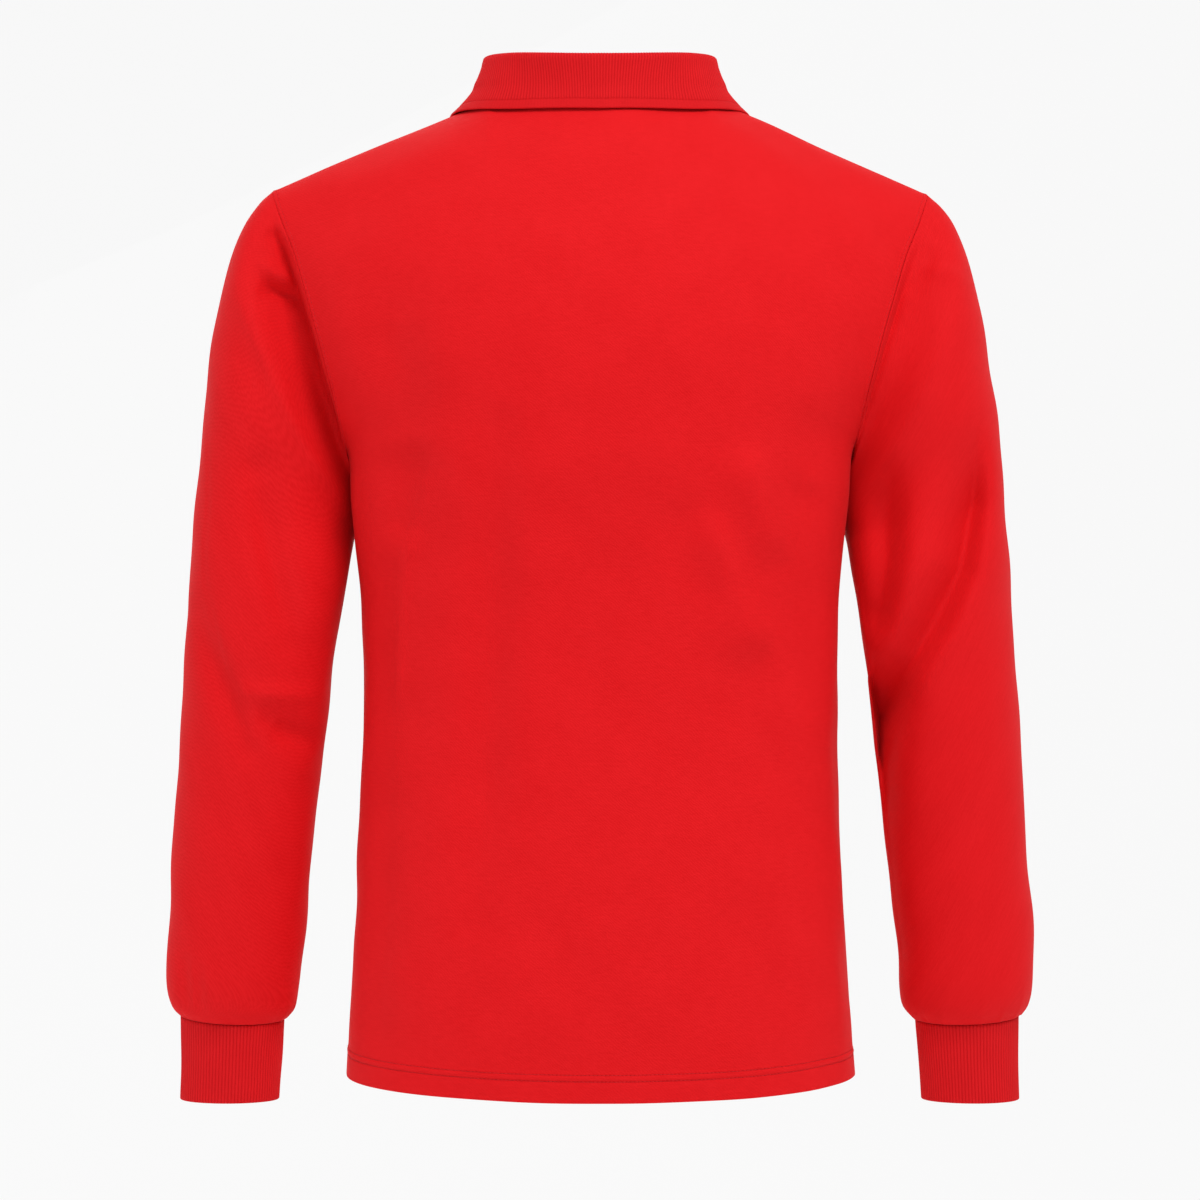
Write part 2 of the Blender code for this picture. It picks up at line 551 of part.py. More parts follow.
def make_placket(front, ways):
    """The under band in the front's cut, and the upper band over it, whose outer middle line
    is given back."""
    middle = front.shape[1] // 2
    inside = slice(middle - 1, middle + 2)
    under, under_ways = front[PLACKET_ROW:, inside].copy(), ways[PLACKET_ROW:, inside]
    under[:, (0, -1), 0] *= 1 - SEAM_GAP / PLACKET_HALF_WIDTH
    under[0] += unit(under[1] - under[0]) * SEAM_GAP
    cloth_wall("placket_under_band", under, under - under_ways * CLOTH, RED)

    upper = band_points(front, front, PLACKET_ROW - 1)
    upper_ways = unit(band_points(ways, front, PLACKET_ROW - 1))
    upper[0] += (upper[1] - upper[0]) * PLACKET_FOOT
    low = upper + upper_ways * SEAM_GAP
    high = low + upper_ways * CLOTH
    cloth_wall("placket_upper_band", high, low, RED)
    return high[:, high.shape[1] // 2]


def button_place(line, height):
    """Where a button's back and its direction are, on the upper band's middle line."""
    row = int(np.searchsorted(line[:, 2], height)) - 1
    run = line[row + 1] - line[row]
    point = line[row] + run * (height - line[row, 2]) / run[2]
    way = unit(np.array((0, -run[2], run[1])))
    return Vector(point + way * BUTTON_GAP), Vector(way)


def make_button(name, place, way):
    """A turned button with a raised rim, on its flat back."""
    rim = BUTTON_RADIUS
    profile = (
        (0, BUTTON_THICKNESS - BUTTON_RIM),
        (rim * 0.62, BUTTON_THICKNESS - BUTTON_RIM),
        (rim * 0.74, BUTTON_THICKNESS),
        (rim * 0.92, BUTTON_THICKNESS),
        (rim, BUTTON_THICKNESS * 0.6),
        (rim * 0.92, 0),
        (0, 0),
    )
    bm = bmesh.new()
    points = [bm.verts.new((x, 0, z)) for x, z in profile]
    for low, high in zip(points, points[1:]):
        bm.edges.new((low, high))
    button = mesh_object(name, bm, BUTTON_RED)
    turned = button.modifiers.new("turned", "SCREW")
    turned.steps = turned.render_steps = BUTTON_SIDES
    turned.use_merge_vertices = True
    turned.merge_threshold = 0.00005
    button.location = place
    button.rotation_euler = way.to_track_quat("Z", "X").to_euler()
    return button


# ---- the shirt ------------------------------------------------------------------------------
def clear_scene():
    for old in list(bpy.data.objects):
        bpy.data.objects.remove(old)
    bpy.context.scene.collection.children.link(bpy.data.collections.new(COLLECTION))


def join_ways_at_seams(back_ways, front_ways):
    """Gives the two panels one direction through the wall along the side and shoulder seams."""
    neck = back_ways.shape[1] // 2 + 1 + NECK_SPANS
    below_arm = slice(None, ARMPIT_ROW + 1)
    seams = ((below_arm, 0), (below_arm, -1), (-1, slice(None, -neck)), (-1, slice(neck, None)))
    for seam in seams:
        back_ways[seam], front_ways[seam] = shared_ways(back_ways[seam], front_ways[seam])


def join_ways_at_armhole(back_ways, front_ways, sleeve_ways, side):
    """The same for the armhole's panels and its sleeve."""
    edge = -1 if side > 0 else 0
    panel_ways = armhole_loop(back_ways, front_ways, side)
    panel_ways, sleeve_ways[0] = shared_ways(panel_ways, sleeve_ways[0])
    count = back_ways.shape[0] - ARMPIT_ROW
    back_ways[ARMPIT_ROW:, edge] = panel_ways[:count][::-1]
    front_ways[ARMPIT_ROW + 1 : -1, edge] = panel_ways[count:]
    front_ways[ARMPIT_ROW, edge], front_ways[-1, edge] = panel_ways[count - 1], panel_ways[0]


def panel_walls(points, ways):
    """A panel's outer and inner faces, drawn back from what it is sewn to."""
    neck = points.shape[1] // 2 + 1 + NECK_SPANS
    outer = points.copy()
    pull_back(outer[:, 0], points[:, 1])
    pull_back(outer[:, -1], points[:, -2])
    pull_back(outer[-1, :-neck], points[-2, :-neck])
    pull_back(outer[-1, neck:], points[-2, neck:])
    return outer, outer - ways * CLOTH


def main():
    clear_scene()
    back, front = panel_points("back"), panel_points("front")
    back_ways, front_ways = grid_normals(back, -1), grid_normals(front, 1)
    join_ways_at_seams(back_ways, front_ways)
    for name, side in (("left", 1), ("right", -1)):
        sleeve = sleeve_points(armhole_loop(back, front, side), side)
        ways = grid_normals(sleeve, -side, closed=True)
        join_ways_at_armhole(back_ways, front_ways, ways, side)
        pull_back(sleeve[0], sleeve[1].copy())
        cloth_wall(f"sleeve_{name}", sleeve, sleeve - ways * CLOTH, RED, closed=True)
        make_cuff(f"cuff_{name}", side)

    back_outer, back_inner = panel_walls(back, back_ways)
    front_outer, front_inner = panel_walls(front, front_ways)
    middle = front.shape[1] // 2
    cut = [(row, column) for row in range(PLACKET_ROW, len(front) - 1) for column in (middle - 1, middle)]
    back_panel = cloth_wall("back_panel", back_outer, back_inner, RED)
    front_panel = cloth_wall("front_panel", front_outer, front_inner, RED, cut=cut)

    make_collar(neck_loop(back_outer, front_outer), body_tree(back_panel, front_panel))
    band_line = make_placket(front, front_ways)
    for number, height in enumerate(BUTTON_HEIGHTS, 1):
        make_button(f"button_{number}", *button_place(band_line, height))


main()
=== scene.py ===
import math

import bmesh
import bpy
import numpy as np
from mathutils import Matrix, Vector
from mathutils.bvhtree import BVHTree


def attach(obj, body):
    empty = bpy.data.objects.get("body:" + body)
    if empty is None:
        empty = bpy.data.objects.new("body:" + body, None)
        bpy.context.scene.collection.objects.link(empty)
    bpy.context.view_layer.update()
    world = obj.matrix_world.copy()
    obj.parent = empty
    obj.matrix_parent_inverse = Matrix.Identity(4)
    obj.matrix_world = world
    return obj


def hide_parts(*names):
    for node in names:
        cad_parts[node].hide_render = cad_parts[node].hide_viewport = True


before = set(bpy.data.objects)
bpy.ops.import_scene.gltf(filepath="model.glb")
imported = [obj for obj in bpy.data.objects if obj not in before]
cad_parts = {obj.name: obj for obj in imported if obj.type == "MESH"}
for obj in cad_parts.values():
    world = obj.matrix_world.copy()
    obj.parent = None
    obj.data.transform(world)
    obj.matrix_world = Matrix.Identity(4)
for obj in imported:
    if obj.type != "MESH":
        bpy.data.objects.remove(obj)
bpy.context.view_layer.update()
print("frame loaded:", ", ".join(sorted(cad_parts)))


# curves and grids of points

def smoothCurve(knots, values, at):
    # values at any place on a smooth curve through a table's rows
    slopes = np.gradient(values, knots)
    at = np.clip(at, knots[0], knots[-1])
    i = np.clip(np.searchsorted(knots, at) - 1, 0, len(knots) - 2)
    width = knots[i + 1] - knots[i]
    t = (at - knots[i]) / width
    start = (1 + 2 * t) * (1 - t) ** 2 * values[i] + t * (1 - t) ** 2 * width * slopes[i]
    return start + t * t * (3 - 2 * t) * values[i + 1] + t * t * (t - 1) * width * slopes[i + 1]


def columnsOf(names, rows):
    return {name: np.array(values, float) for name, values in zip(names, zip(*rows))}


def unit(vectors):
    return vectors / np.maximum(np.linalg.norm(vectors, axis=-1, keepdims=True), 1e-12)


def ease(values):
    # 0 to 1 with soft ends
    values = np.clip(values, 0, 1)
    return values * values * (3 - 2 * values)


def bell(values, width):
    return np.exp(-((values / width) ** 2))


def lengthsAlong(points, axis):
    # how far each point of a grid lies along its row (axis 1) or column (axis 0)
    steps = np.linalg.norm(np.diff(points, axis=axis), axis=-1)
    start = np.zeros_like(np.take(steps, (0,), axis=axis))
    return np.concatenate((start, np.cumsum(steps, axis=axis)), axis=axis)


def readLine(at, known, line):
    # points of a line at the given values of what is known at each of its points
    return np.stack([np.interp(at, known, line[:, i]) for i in range(3)], -1)


def placesAlong(line, shares):
    travelled = lengthsAlong(line[None], 1)[0]
    return readLine(np.clip(shares, 0, 1) * travelled[-1], travelled, line)


def readTable(table, known, at):
    # every column of a table at places between its rows
    return {name: smoothCurve(known, values, at) for name, values in table.items()}


def gridNormals(points, facing, closed=False):
    if closed:
        loop = points[:, :-1]
        across = np.roll(loop, -1, 1) - np.roll(loop, 1, 1)
        across = np.concatenate((across, across[:, :1]), axis=1)
    else:
        across = np.gradient(points, axis=1)
    return unit(np.cross(across, np.gradient(points, axis=0))) * facing


# pieces from a bmesh

def newPiece(name, bm, finish):
    mesh = bpy.data.meshes.new(name)
    bm.to_mesh(mesh)
    bm.free()
    mesh.shade_smooth()
    mesh.materials.append(finish)
    piece = bpy.data.objects.new(name, mesh)
    bpy.context.scene.collection.objects.link(piece)
    return piece


def settle(piece, node=None):
    # rides on the shirt's one body, and may stand for a solid
    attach(piece, "root")
    if node:
        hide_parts(node)
    return piece


def clothPiece(name, points, flat, finish, facing, closed=False, cut=None, thickness=None):
    # a flat grid, bent to the points; flat is each point's place in the cut cloth
    bm = bmesh.new()
    bm.loops.layers.uv.new("cut")
    rows, columns = points.shape[:2]
    bmesh.ops.create_grid(bm, x_segments=columns - 1, y_segments=rows - 1, size=0.5)
    mesh = bpy.data.meshes.new("grid")
    bm.to_mesh(mesh)
    mesh.vertices.foreach_set("co", points.astype(np.float32).ravel())
    corner = np.zeros(len(mesh.loops), int)
    mesh.loops.foreach_get("vertex_index", corner)
    mesh.uv_layers["cut"].data.foreach_set("uv", flat.reshape(-1, 2)[corner].astype(np.float32).ravel())
    bm.clear()
    bm.from_mesh(mesh)
    bpy.data.meshes.remove(mesh)
    if cut is not None:
        bm.faces.ensure_lookup_table()
        gone = [bm.faces[i] for i in np.flatnonzero(cut.ravel())]
        bmesh.ops.delete(bm, geom=gone, context="FACES")
    if closed:
        bmesh.ops.remove_doubles(bm, verts=bm.verts, dist=1e-6)
    if facing < 0:
        bmesh.ops.reverse_faces(bm, faces=bm.faces)
    piece = newPiece(name, bm, finish)
    if thickness:
        wall = piece.modifiers.new("wall", "SOLIDIFY")
        wall.thickness = thickness
        wall.offset = -1
    return piece


def weld(piece, distance):
    # closes a wall that was rolled up from a grid, and turns its faces outwards
    bm = bmesh.new()
    bm.from_mesh(piece.data)
    bmesh.ops.remove_doubles(bm, verts=bm.verts, dist=distance)
    bmesh.ops.dissolve_degenerate(bm, dist=1e-6, edges=bm.edges)
    bmesh.ops.recalc_face_normals(bm, faces=bm.faces)
    bm.to_mesh(piece.data)
    bm.free()
    piece.data.shade_smooth()


def placed(axes, origin):
    return Matrix([[*(axis[i] for axis in axes), origin[i]] for i in range(3)] + [[0, 0, 0, 1]])


def stitchRows(name, rows, finish):
    # short bars of thread along lines; rows are (points, normals, settings)
    bm = bmesh.new()
    bmesh.ops.create_uvsphere(bm, u_segments=6, v_segments=4, radius=1)
    bar = bpy.data.meshes.new("bar")
    bm.to_mesh(bar)
    bm.clear()
    for points, normals, look in rows:
        travelled = lengthsAlong(points[None], 1)[0]
        count = int(travelled[-1] / look["pitch"])
        for number in range(count):
            ends = (number + np.array(look["ends"])) * travelled[-1] / count
            first, last = readLine(ends, travelled, points)
            up = unit(readLine(ends.mean(), travelled, normals))
            ahead = unit(last - first)
            length = np.linalg.norm(last - first)
            axes = (ahead * length / 2, np.cross(up, ahead) * look["thread"], up * look["thread"])
            matrix = placed(axes, (first + last) / 2 + up * look["lift"])
            bar.transform(matrix)
            bm.from_mesh(bar)
            bar.transform(matrix.inverted())
    bpy.data.meshes.remove(bar)
    return settle(newPiece(name, bm, finish))


# finishes

class Line:
    # wraps one socket, so that shader maths is written as an expression
    def __init__(self, tree, socket=None):
        self.tree, self.socket = tree, socket

    def node(self, kind, settings=None, sockets=None, output=0):
        made = self.tree.nodes.new(kind)
        for name, value in (settings or {}).items():
            setattr(made, name, value)
        for name, value in (sockets or {}).items():
            if isinstance(value, Line):
                self.tree.links.new(value.socket, made.inputs[name])
            else:
                made.inputs[name].default_value = value
        return Line(self.tree, made.outputs[output])

    def maths(self, operation, first, second=0.0):
        return self.node("ShaderNodeMath", {"operation": operation}, {0: first, 1: second})

    def __add__(self, other):
        return self.maths("ADD", self, other)

    def __sub__(self, other):
        return self.maths("SUBTRACT", self, other)

    def __rsub__(self, other):
        return self.maths("SUBTRACT", other, self)

    def __mul__(self, other):
        return self.maths("MULTIPLY", self, other)

    __radd__ = __add__
    __rmul__ = __mul__

    def wave(self):
        return self.maths("SINE", self * (2 * math.pi))


def newFinish(name, constants):
    material = bpy.data.materials.new(name)
    material.use_nodes = True
    shader = material.node_tree.nodes["Principled BSDF"]
    for socket, value in constants.items():
        shader.inputs[socket].default_value = value
    return material, Line(material.node_tree), shader


def noiseOf(line, vector, scale, detail=2.0, roughness=0.5):
    sockets = {"Vector": vector, "Scale": scale, "Detail": detail, "Roughness": roughness}
    return line.node("ShaderNodeTexNoise", {}, sockets)


def part(line, vector, axis):
    return line.node("ShaderNodeSeparateXYZ", {}, {"Vector": vector}, output=axis)


def paint(line, shader, share, dark, light):
    dye = line.node("ShaderNodeMix", {"data_type": "RGBA"}, {0: share, 6: dark, 7: light}, output=2)
    line.tree.links.new(dye.socket, shader.inputs["Base Color"])


clothLook = {
    "Specular IOR Level": 0.12, "Sheen Weight": 0.05, "Sheen Roughness": 0.45,
    "Sheen Tint": (1.0, 0.25, 0.25, 1),
}
knitLook = {
    # the knit's tone wanders at random; its light colour is also paler, a painted sheen on the fibres that
    # catch the light
    "light": (0.860, 0.0135, 0.0185, 1), "dark": (0.640, 0.0005, 0.0020, 1), "roughness": 0.78,
    "grain": (-0.66 / 0.00165, 0.75 / 0.00165),  # waves a metre across and up: slanting lines of the knit
    "wander": (240, 2), "wanderReach": 1.9, "stretch": (110, 560, 1),
    "clouds": (30, 3, 0.55), "streaks": (1, 2, 0.6), "fluff": (1100, 2, 0.6),
    "shares": (0.24, 0.38, 0.50, 0.085, -0.06),  # of clouds, streaks, fluff, grain, and the base
    "heights": (0.30, 0.8, 0.5),  # of grain, fluff and streaks
    "bump": 0.55, "bumpDistance": 0.00012,
}
ribLook = {
    "light": (0.790, 0.0125, 0.0175, 1), "dark": (0.500, 0.0005, 0.0020, 1), "roughness": 0.80,
    "loops": 1 / 0.00115, "loopShift": 0.35, "clouds": (30, 3, 0.55), "fluff": (900, 2, 0.6),
    "shares": (0.30, 0.30, 0.62, 0.02, -0.14),  # of clouds, fluff, the ribs' painted groove shade, loops, and the base
    "heights": (0.15, 0.6),  # of loops and fluff
    "bump": 0.35, "bumpDistance": 0.00010,
}


def mixed(patterns, amounts):
    # patterns weighted and added up, and the base that may be left over
    made = patterns[0] * amounts[0]
    for pattern, amount in zip(patterns[1:], amounts[1:]):
        made = made + pattern * amount
    return made + amounts[-1] if len(amounts) > len(patterns) else made


def knitPattern(line, cut, look):
    # slanting grain, streaks across the cloth and fluff; the share of the light colour, partly painted
    # sheen, and the height
    wander = noiseOf(line, cut, *look["wander"])
    slant = mixed((part(line, cut, 0), part(line, cut, 1)), look["grain"])
    grain = (slant + wander * look["wanderReach"]).wave()
    stretched = line.node("ShaderNodeMapping", {}, {"Vector": cut, "Scale": look["stretch"]})
    streaks = noiseOf(line, stretched, *look["streaks"])
    clouds, fluff = noiseOf(line, cut, *look["clouds"]), noiseOf(line, cut, *look["fluff"])
    share = mixed((clouds, streaks, fluff, grain), look["shares"])
    return share, mixed((grain, fluff, streaks), look["heights"])


def ribPattern(line, cut, look):
    # the ribs are in the mesh; the finish adds their knitted loops and painted shade, darker in their
    # grooves
    rib = line.node("ShaderNodeAttribute", {"attribute_name": "ribHeight"}, output=2)
    loops = (part(line, cut, 1) * look["loops"] + rib * look["loopShift"]).wave()
    clouds, fluff = noiseOf(line, cut, *look["clouds"]), noiseOf(line, cut, *look["fluff"])
    share = mixed((clouds, fluff, rib, loops), look["shares"])
    return share, mixed((loops, fluff), look["heights"])


def clothFinish(name, look, pattern):
    material, line, shader = newFinish(name, {"Roughness": look["roughness"], **clothLook})
    cut = line.node("ShaderNodeUVMap", {"uv_map": "cut"})
    share, height = pattern(line, cut, look)
    paint(line, shader, share, look["dark"], look["light"])
    bump = line.node("ShaderNodeBump", {}, {
        "Height": height, "Strength": look["bump"], "Distance": look["bumpDistance"],
    })
    line.tree.links.new(bump.socket, shader.inputs["Normal"])
    return material


threadGloss = {"Roughness": 0.55, "Specular IOR Level": 0.25}
buttonGloss = {"Roughness": 0.28, "Specular IOR Level": 0.5, "Coat Weight": 0.3, "Coat Roughness": 0.12}


def dyedFinish(name, gloss, noise, dark, light):
    # thread and buttons, whose dye drifts a little, and dark dots of painted shade at the needle holes
    material, line, shader = newFinish(name, gloss)
    place = line.node("ShaderNodeTexCoord", {}, {}, output=3)
    paint(line, shader, noiseOf(line, place, *noise), dark, light)
    return material


knit = clothFinish("redKnit", knitLook, knitPattern)
ribKnit = clothFinish("redRib", ribLook, ribPattern)
thread, needleHoleShade, buttonPlastic = (dyedFinish(*row) for row in (
    ("redThread", threadGloss, (2200, 1), (0.518, 0.007, 0.0112, 1), (0.74, 0.010, 0.016, 1)),
    # painted shade: dark dots where the hem's thread goes into the cloth
    ("needleHoleShade", threadGloss, (2200, 1), (0.252, 0.0014, 0.0028, 1), (0.36, 0.002, 0.004, 1)),
    ("redButton", buttonGloss, (260, 3, 0.6), (0.42, 0.006, 0.010, 1), (0.68, 0.016, 0.022, 1)),
))
print("finishes made")


# the camera, at the photograph's angle, and the studio

studio = {
    "distance": 2.5, "height": -0.3593, "frameWidth": 0.864, "sensor": 36.0,
    "floorHeight": -1.02, "floorHalfWidth": 9.0, "sweepDepth": 3.2, "sweepRadius": 1.4, "sweepTop": 4.0,
    "pale": 0.953, "worldStrength": 0.55, "glowFrom": -0.5, "glowTo": -1.2, "glowShare": 0.9,
    "aimHeight": -0.34,
}


def setCamera(look):
    data = bpy.data.cameras.new("studioCamera")
    data.sensor_width = look["sensor"]
    data.lens = look["sensor"] * look["distance"] / look["frameWidth"]
    camera = bpy.data.objects.new("studioCamera", data)
    camera.location = (0, look["distance"], look["height"])
    camera.rotation_euler = (math.radians(90), 0, math.radians(180))
    bpy.context.scene.collection.objects.link(camera)
    bpy.context.scene.camera = camera


def makeFloor(look):
    # a floor that sweeps up behind the shirt, as seen from the back
    bm = bmesh.new()
    wide, low, far = look["floorHalfWidth"], look["floorHeight"], -look["sweepDepth"]
    start = bm.verts.new((-wide, wide, low))
    end = bm.verts.new((-wide, far + look["sweepRadius"], low))
    bm.edges.new((start, end))
    swept = bmesh.ops.spin(
        bm, geom=[end], cent=(0, far + look["sweepRadius"], low + look["sweepRadius"]), axis=(1, 0, 0),
        angle=-math.pi / 2, steps=16, use_merge=False, use_duplicate=False,
    )
    top = bm.verts.new((-wide, far, look["sweepTop"]))
    bm.edges.new((swept["geom_last"][0], top))
    made = bmesh.ops.extrude_edge_only(bm, edges=bm.edges[:])
    moved = [item for item in made["geom"] if isinstance(item, bmesh.types.BMVert)]
    bmesh.ops.translate(bm, verts=moved, vec=(2 * wide, 0, 0))
    bmesh.ops.recalc_face_normals(bm, faces=bm.faces)

    # far behind the shirt it glows, as an overexposed backdrop does
    pale = (look["pale"],) * 3 + (1,)
    material, line, shader = newFinish("paleFloor", {
        "Base Color": pale, "Roughness": 0.9, "Specular IOR Level": 0.0,
    })
    glow = line.node("ShaderNodeEmission", {}, {"Color": pale, "Strength": 1.0})
    place = line.node("ShaderNodeTexCoord", {}, {}, output=3)
    share = line.node("ShaderNodeMapRange", {"interpolation_type": "SMOOTHSTEP"}, {
        "Value": part(line, place, 1), "From Min": look["glowFrom"], "From Max": look["glowTo"],
        "To Min": 0.0, "To Max": look["glowShare"],
    })
    seen = line.node("ShaderNodeMixShader", {}, {0: share, 1: Line(line.tree, shader.outputs[0]), 2: glow})
    line.tree.links.new(seen.socket, line.tree.nodes["Material Output"].inputs["Surface"])
    newPiece("studioFloor", bm, material)


lamps = {
    "key": {"place": (-0.65, 1.9, 2.1), "size": 1.2, "power": 49.0},
    "leftSide": {"place": (2.6, 0.5, 0.3), "size": 1.6, "power": 8.0},
    "rightSide": {"place": (-2.6, 0.5, 0.3), "size": 1.6, "power": 3.0},
    "front": {"place": (0.8, -2.6, 1.2), "size": 2.4, "power": 18.0},
}


def setLights(look):
    world = bpy.data.worlds.new("studioWorld")
    bpy.context.scene.world = world
    world.use_nodes = True
    background = world.node_tree.nodes["Background"]
    background.inputs["Color"].default_value = (1, 1, 1, 1)
    background.inputs["Strength"].default_value = look["worldStrength"]
    aim = Vector((0, 0, look["aimHeight"]))
    for name, lamp in lamps.items():
        data = bpy.data.lights.new(name, "AREA")
        data.shape = "SQUARE"
        data.size = lamp["size"]
        data.energy = lamp["power"]
        light = bpy.data.objects.new(name, data)
        light.location = lamp["place"]
        light.rotation_euler = (aim - Vector(lamp["place"])).to_track_quat("-Z", "Y").to_euler()
        bpy.context.scene.collection.objects.link(light)
    bpy.context.scene.view_settings.view_transform = "Standard"


setCamera(studio)
makeFloor(studio)
setLights(studio)
print("studio set")


# the body: back and front, seamed at the shoulders and the sides

body = {
    "hemHeight": -0.7045, "hemSideRise": 0.0055, "armpitHeight": -0.262,
    "tipHeight": -0.068, "tipReach": 0.236,  # end of the shoulder seam
    "leftLift": 0.0025, "liftReach": 0.12, "liftRise": 0.16,  # the left shoulder is a little higher
    "neckReach": 0.080, "backNeckDrop": 0.008, "frontNeckDrop": 0.072, "frontNeckPower": 1.15,
    "roundness": 2.35, "archDepth": 0.100, "placketReach": 0.015, "foldFade": 0.032,
    "thickness": 0.0008, "unevenness": 0.00022,
    "columns": {"placket": 5, "neck": 17, "side": 38},
    "rowStep": 0.0036, "rowReach": 0.16,  # the column whose length the rows are spaced by
    "hemTurn": 0.0009, "hemDepth": 0.0190, "hemStitches": (0.0152, 0.0197),
    "hemRows": (0.0025, 0.006, 0.010),  # rows of the grid near the hem
    "stitchRows": (-0.0016, -0.0009, -0.0004, 0, 0.0004, 0.0009, 0.0016),  # beside each row of stitches
    "stitchGroove": (-0.00045, 0.0006), "hemSwell": (0.0003, 0.0015),  # height and half width
    "hemLayer": (0.0004, 0.002), "fineFade": 0.012, "shoulderFade": 0.004, "placketLevel": -0.236,
}
bodyRoll = {
    "back": {"height": 0.200, "exponent": 1.80, "ridge": 0.018, "arch": 0.010},
    "front": {"height": 0.195, "exponent": 1.65, "ridge": -0.037, "arch": -0.024},
}
bodySections = columnsOf(
    ("height", "backHalfWidth", "frontHalfWidth", "backDepth", "frontDepth", "edgeShare"), (
        (-0.7045, 0.1820, 0.1820, 0.122, 0.119, 0.00),  # hem
        (-0.640, 0.1786, 0.1786, 0.124, 0.118, 0.00),
        (-0.560, 0.1737, 0.1737, 0.118, 0.118, 0.00),
        (-0.470, 0.1705, 0.1705, 0.110, 0.119, 0.00),  # waist
        (-0.400, 0.1702, 0.1702, 0.109, 0.121, 0.00),
        (-0.340, 0.1731, 0.1731, 0.114, 0.126, 0.00),
        (-0.290, 0.1785, 0.1785, 0.121, 0.131, 0.00),
        (-0.262, 0.1802, 0.1802, 0.125, 0.133, 0.00),  # armpit
        (-0.240, 0.1840, 0.1815, 0.127, 0.134, 0.26),
        (-0.215, 0.1890, 0.1840, 0.129, 0.134, 0.41),
        (-0.183, 0.1970, 0.1890, 0.130, 0.133, 0.50),
        (-0.148, 0.2070, 0.1980, 0.130, 0.131, 0.53),
        (-0.112, 0.2185, 0.2130, 0.130, 0.129, 0.53),
        (-0.092, 0.2270, 0.2245, 0.129, 0.128, 0.51),
        (-0.068, 0.2360, 0.2360, 0.128, 0.126, 0.50),  # end of the shoulder seam
    ))
# how far from a seam the columns and rows next to it lie
seamSteps = np.array((0, 0.3, 0.6, 0.9, 1.3, 1.8, 2.4, 2.9, 3.3, 3.7, 4.3, 5.4, 7.2, 9.8)) / 1000
seamLook = {
    "depth": 0.0005, "width": 0.0008, "swell": 0.00035, "swellRise": 0.0012, "swellFall": 0.0014,
    "stitchAt": 0.0033, "dimple": 0.0003, "dimpleWidth": 0.00045,
}
overlapLook = {"depth": 0.0002, "width": 0.0006}

# a fold faces back (1) or front (-1); a height below 0 is a hollow
foldNames = ("facing", "fromX", "fromZ", "toX", "toZ", "halfWidth", "height")
bodyFolds = (
    (1, 0.150, -0.160, 0.136, -0.256, 0.024, -0.0080),  # beside and under the left arm
    (1, 0.155, -0.320, 0.158, -0.660, 0.012, -0.0056),
    (1, 0.071, -0.240, 0.086, -0.580, 0.015, -0.0064),
    (1, 0.042, -0.280, 0.050, -0.520, 0.020, 0.0036),
    (1, -0.108, -0.420, -0.148, -0.540, 0.015, -0.0050),
    (1, -0.105, -0.580, -0.150, -0.680, 0.018, -0.0044),
    (1, 0.055, -0.560, 0.000, -0.640, 0.022, -0.0032),
    (-1, 0.140, -0.240, 0.080, -0.330, 0.022, -0.0048),
    (-1, -0.138, -0.245, -0.085, -0.350, 0.020, -0.0050),
    (-1, 0.120, -0.300, 0.110, -0.520, 0.024, 0.0036),
    (-1, -0.100, -0.340, -0.112, -0.620, 0.026, 0.0036),
    (-1, 0.045, -0.450, 0.060, -0.670, 0.028, -0.0040),
)
# facing, line, depth, half width of the steep and of the soft side, fade of the ends, sharpness
bodyLongFolds = (
    (1, ((-0.0985, -0.2463), (-0.1112, -0.2906), (-0.1307, -0.3384)),
     -0.0092, 0.0090, 0.0200, 0.030, 0.0),  # under the right arm
    (1, ((-0.0718, -0.2909), (-0.0924, -0.3524), (-0.1185, -0.4040)),
     -0.0105, 0.0105, 0.0250, 0.035, 0.0),
    (1, ((-0.1278, -0.2645), (-0.1532, -0.3112)),
     0.0036, 0.0090, 0.0090, 0.030, 0.0),
    (1, ((-0.0433, -0.2803), (-0.0859, -0.3799)),
     0.0040, 0.0160, 0.0180, 0.040, 0.0),
    (1, ((-0.1463, -0.2597), (-0.1539, -0.2906)),
     -0.0022, 0.0060, 0.0060, 0.020, 0.0),
    (1, ((0.1429, -0.2467), (0.1304, -0.2700), (0.1400, -0.3280)),
     0.0074, 0.0130, 0.0200, 0.025, 0.0),  # under the left arm
    (1, ((0.1154, -0.2563), (0.1250, -0.2940), (0.1367, -0.3339), (0.1415, -0.3868), (0.1436, -0.4417)),
     -0.0036, 0.0036, 0.0070, 0.030, 0.0),
)
bodyCreases = (
    (1, -0.1105, -0.025, -0.1070, -0.048, 0.0016, -0.0006),  # short ones beside the neck
    (1, -0.1050, -0.032, -0.1006, -0.051, 0.0018, -0.0005),
)


def topEdge(panel, reach):
    slope = body["tipHeight"] / (body["tipReach"] - body["neckReach"])
    share = np.clip(reach / body["neckReach"], 0, 1)
    if panel == "back":
        neckline = -body["backNeckDrop"] * (1 - share**2)
    else:
        neckline = -body["frontNeckDrop"] * (1 - share**2) ** body["frontNeckPower"]
    return np.where(reach < body["neckReach"], neckline, (reach - body["neckReach"]) * slope)


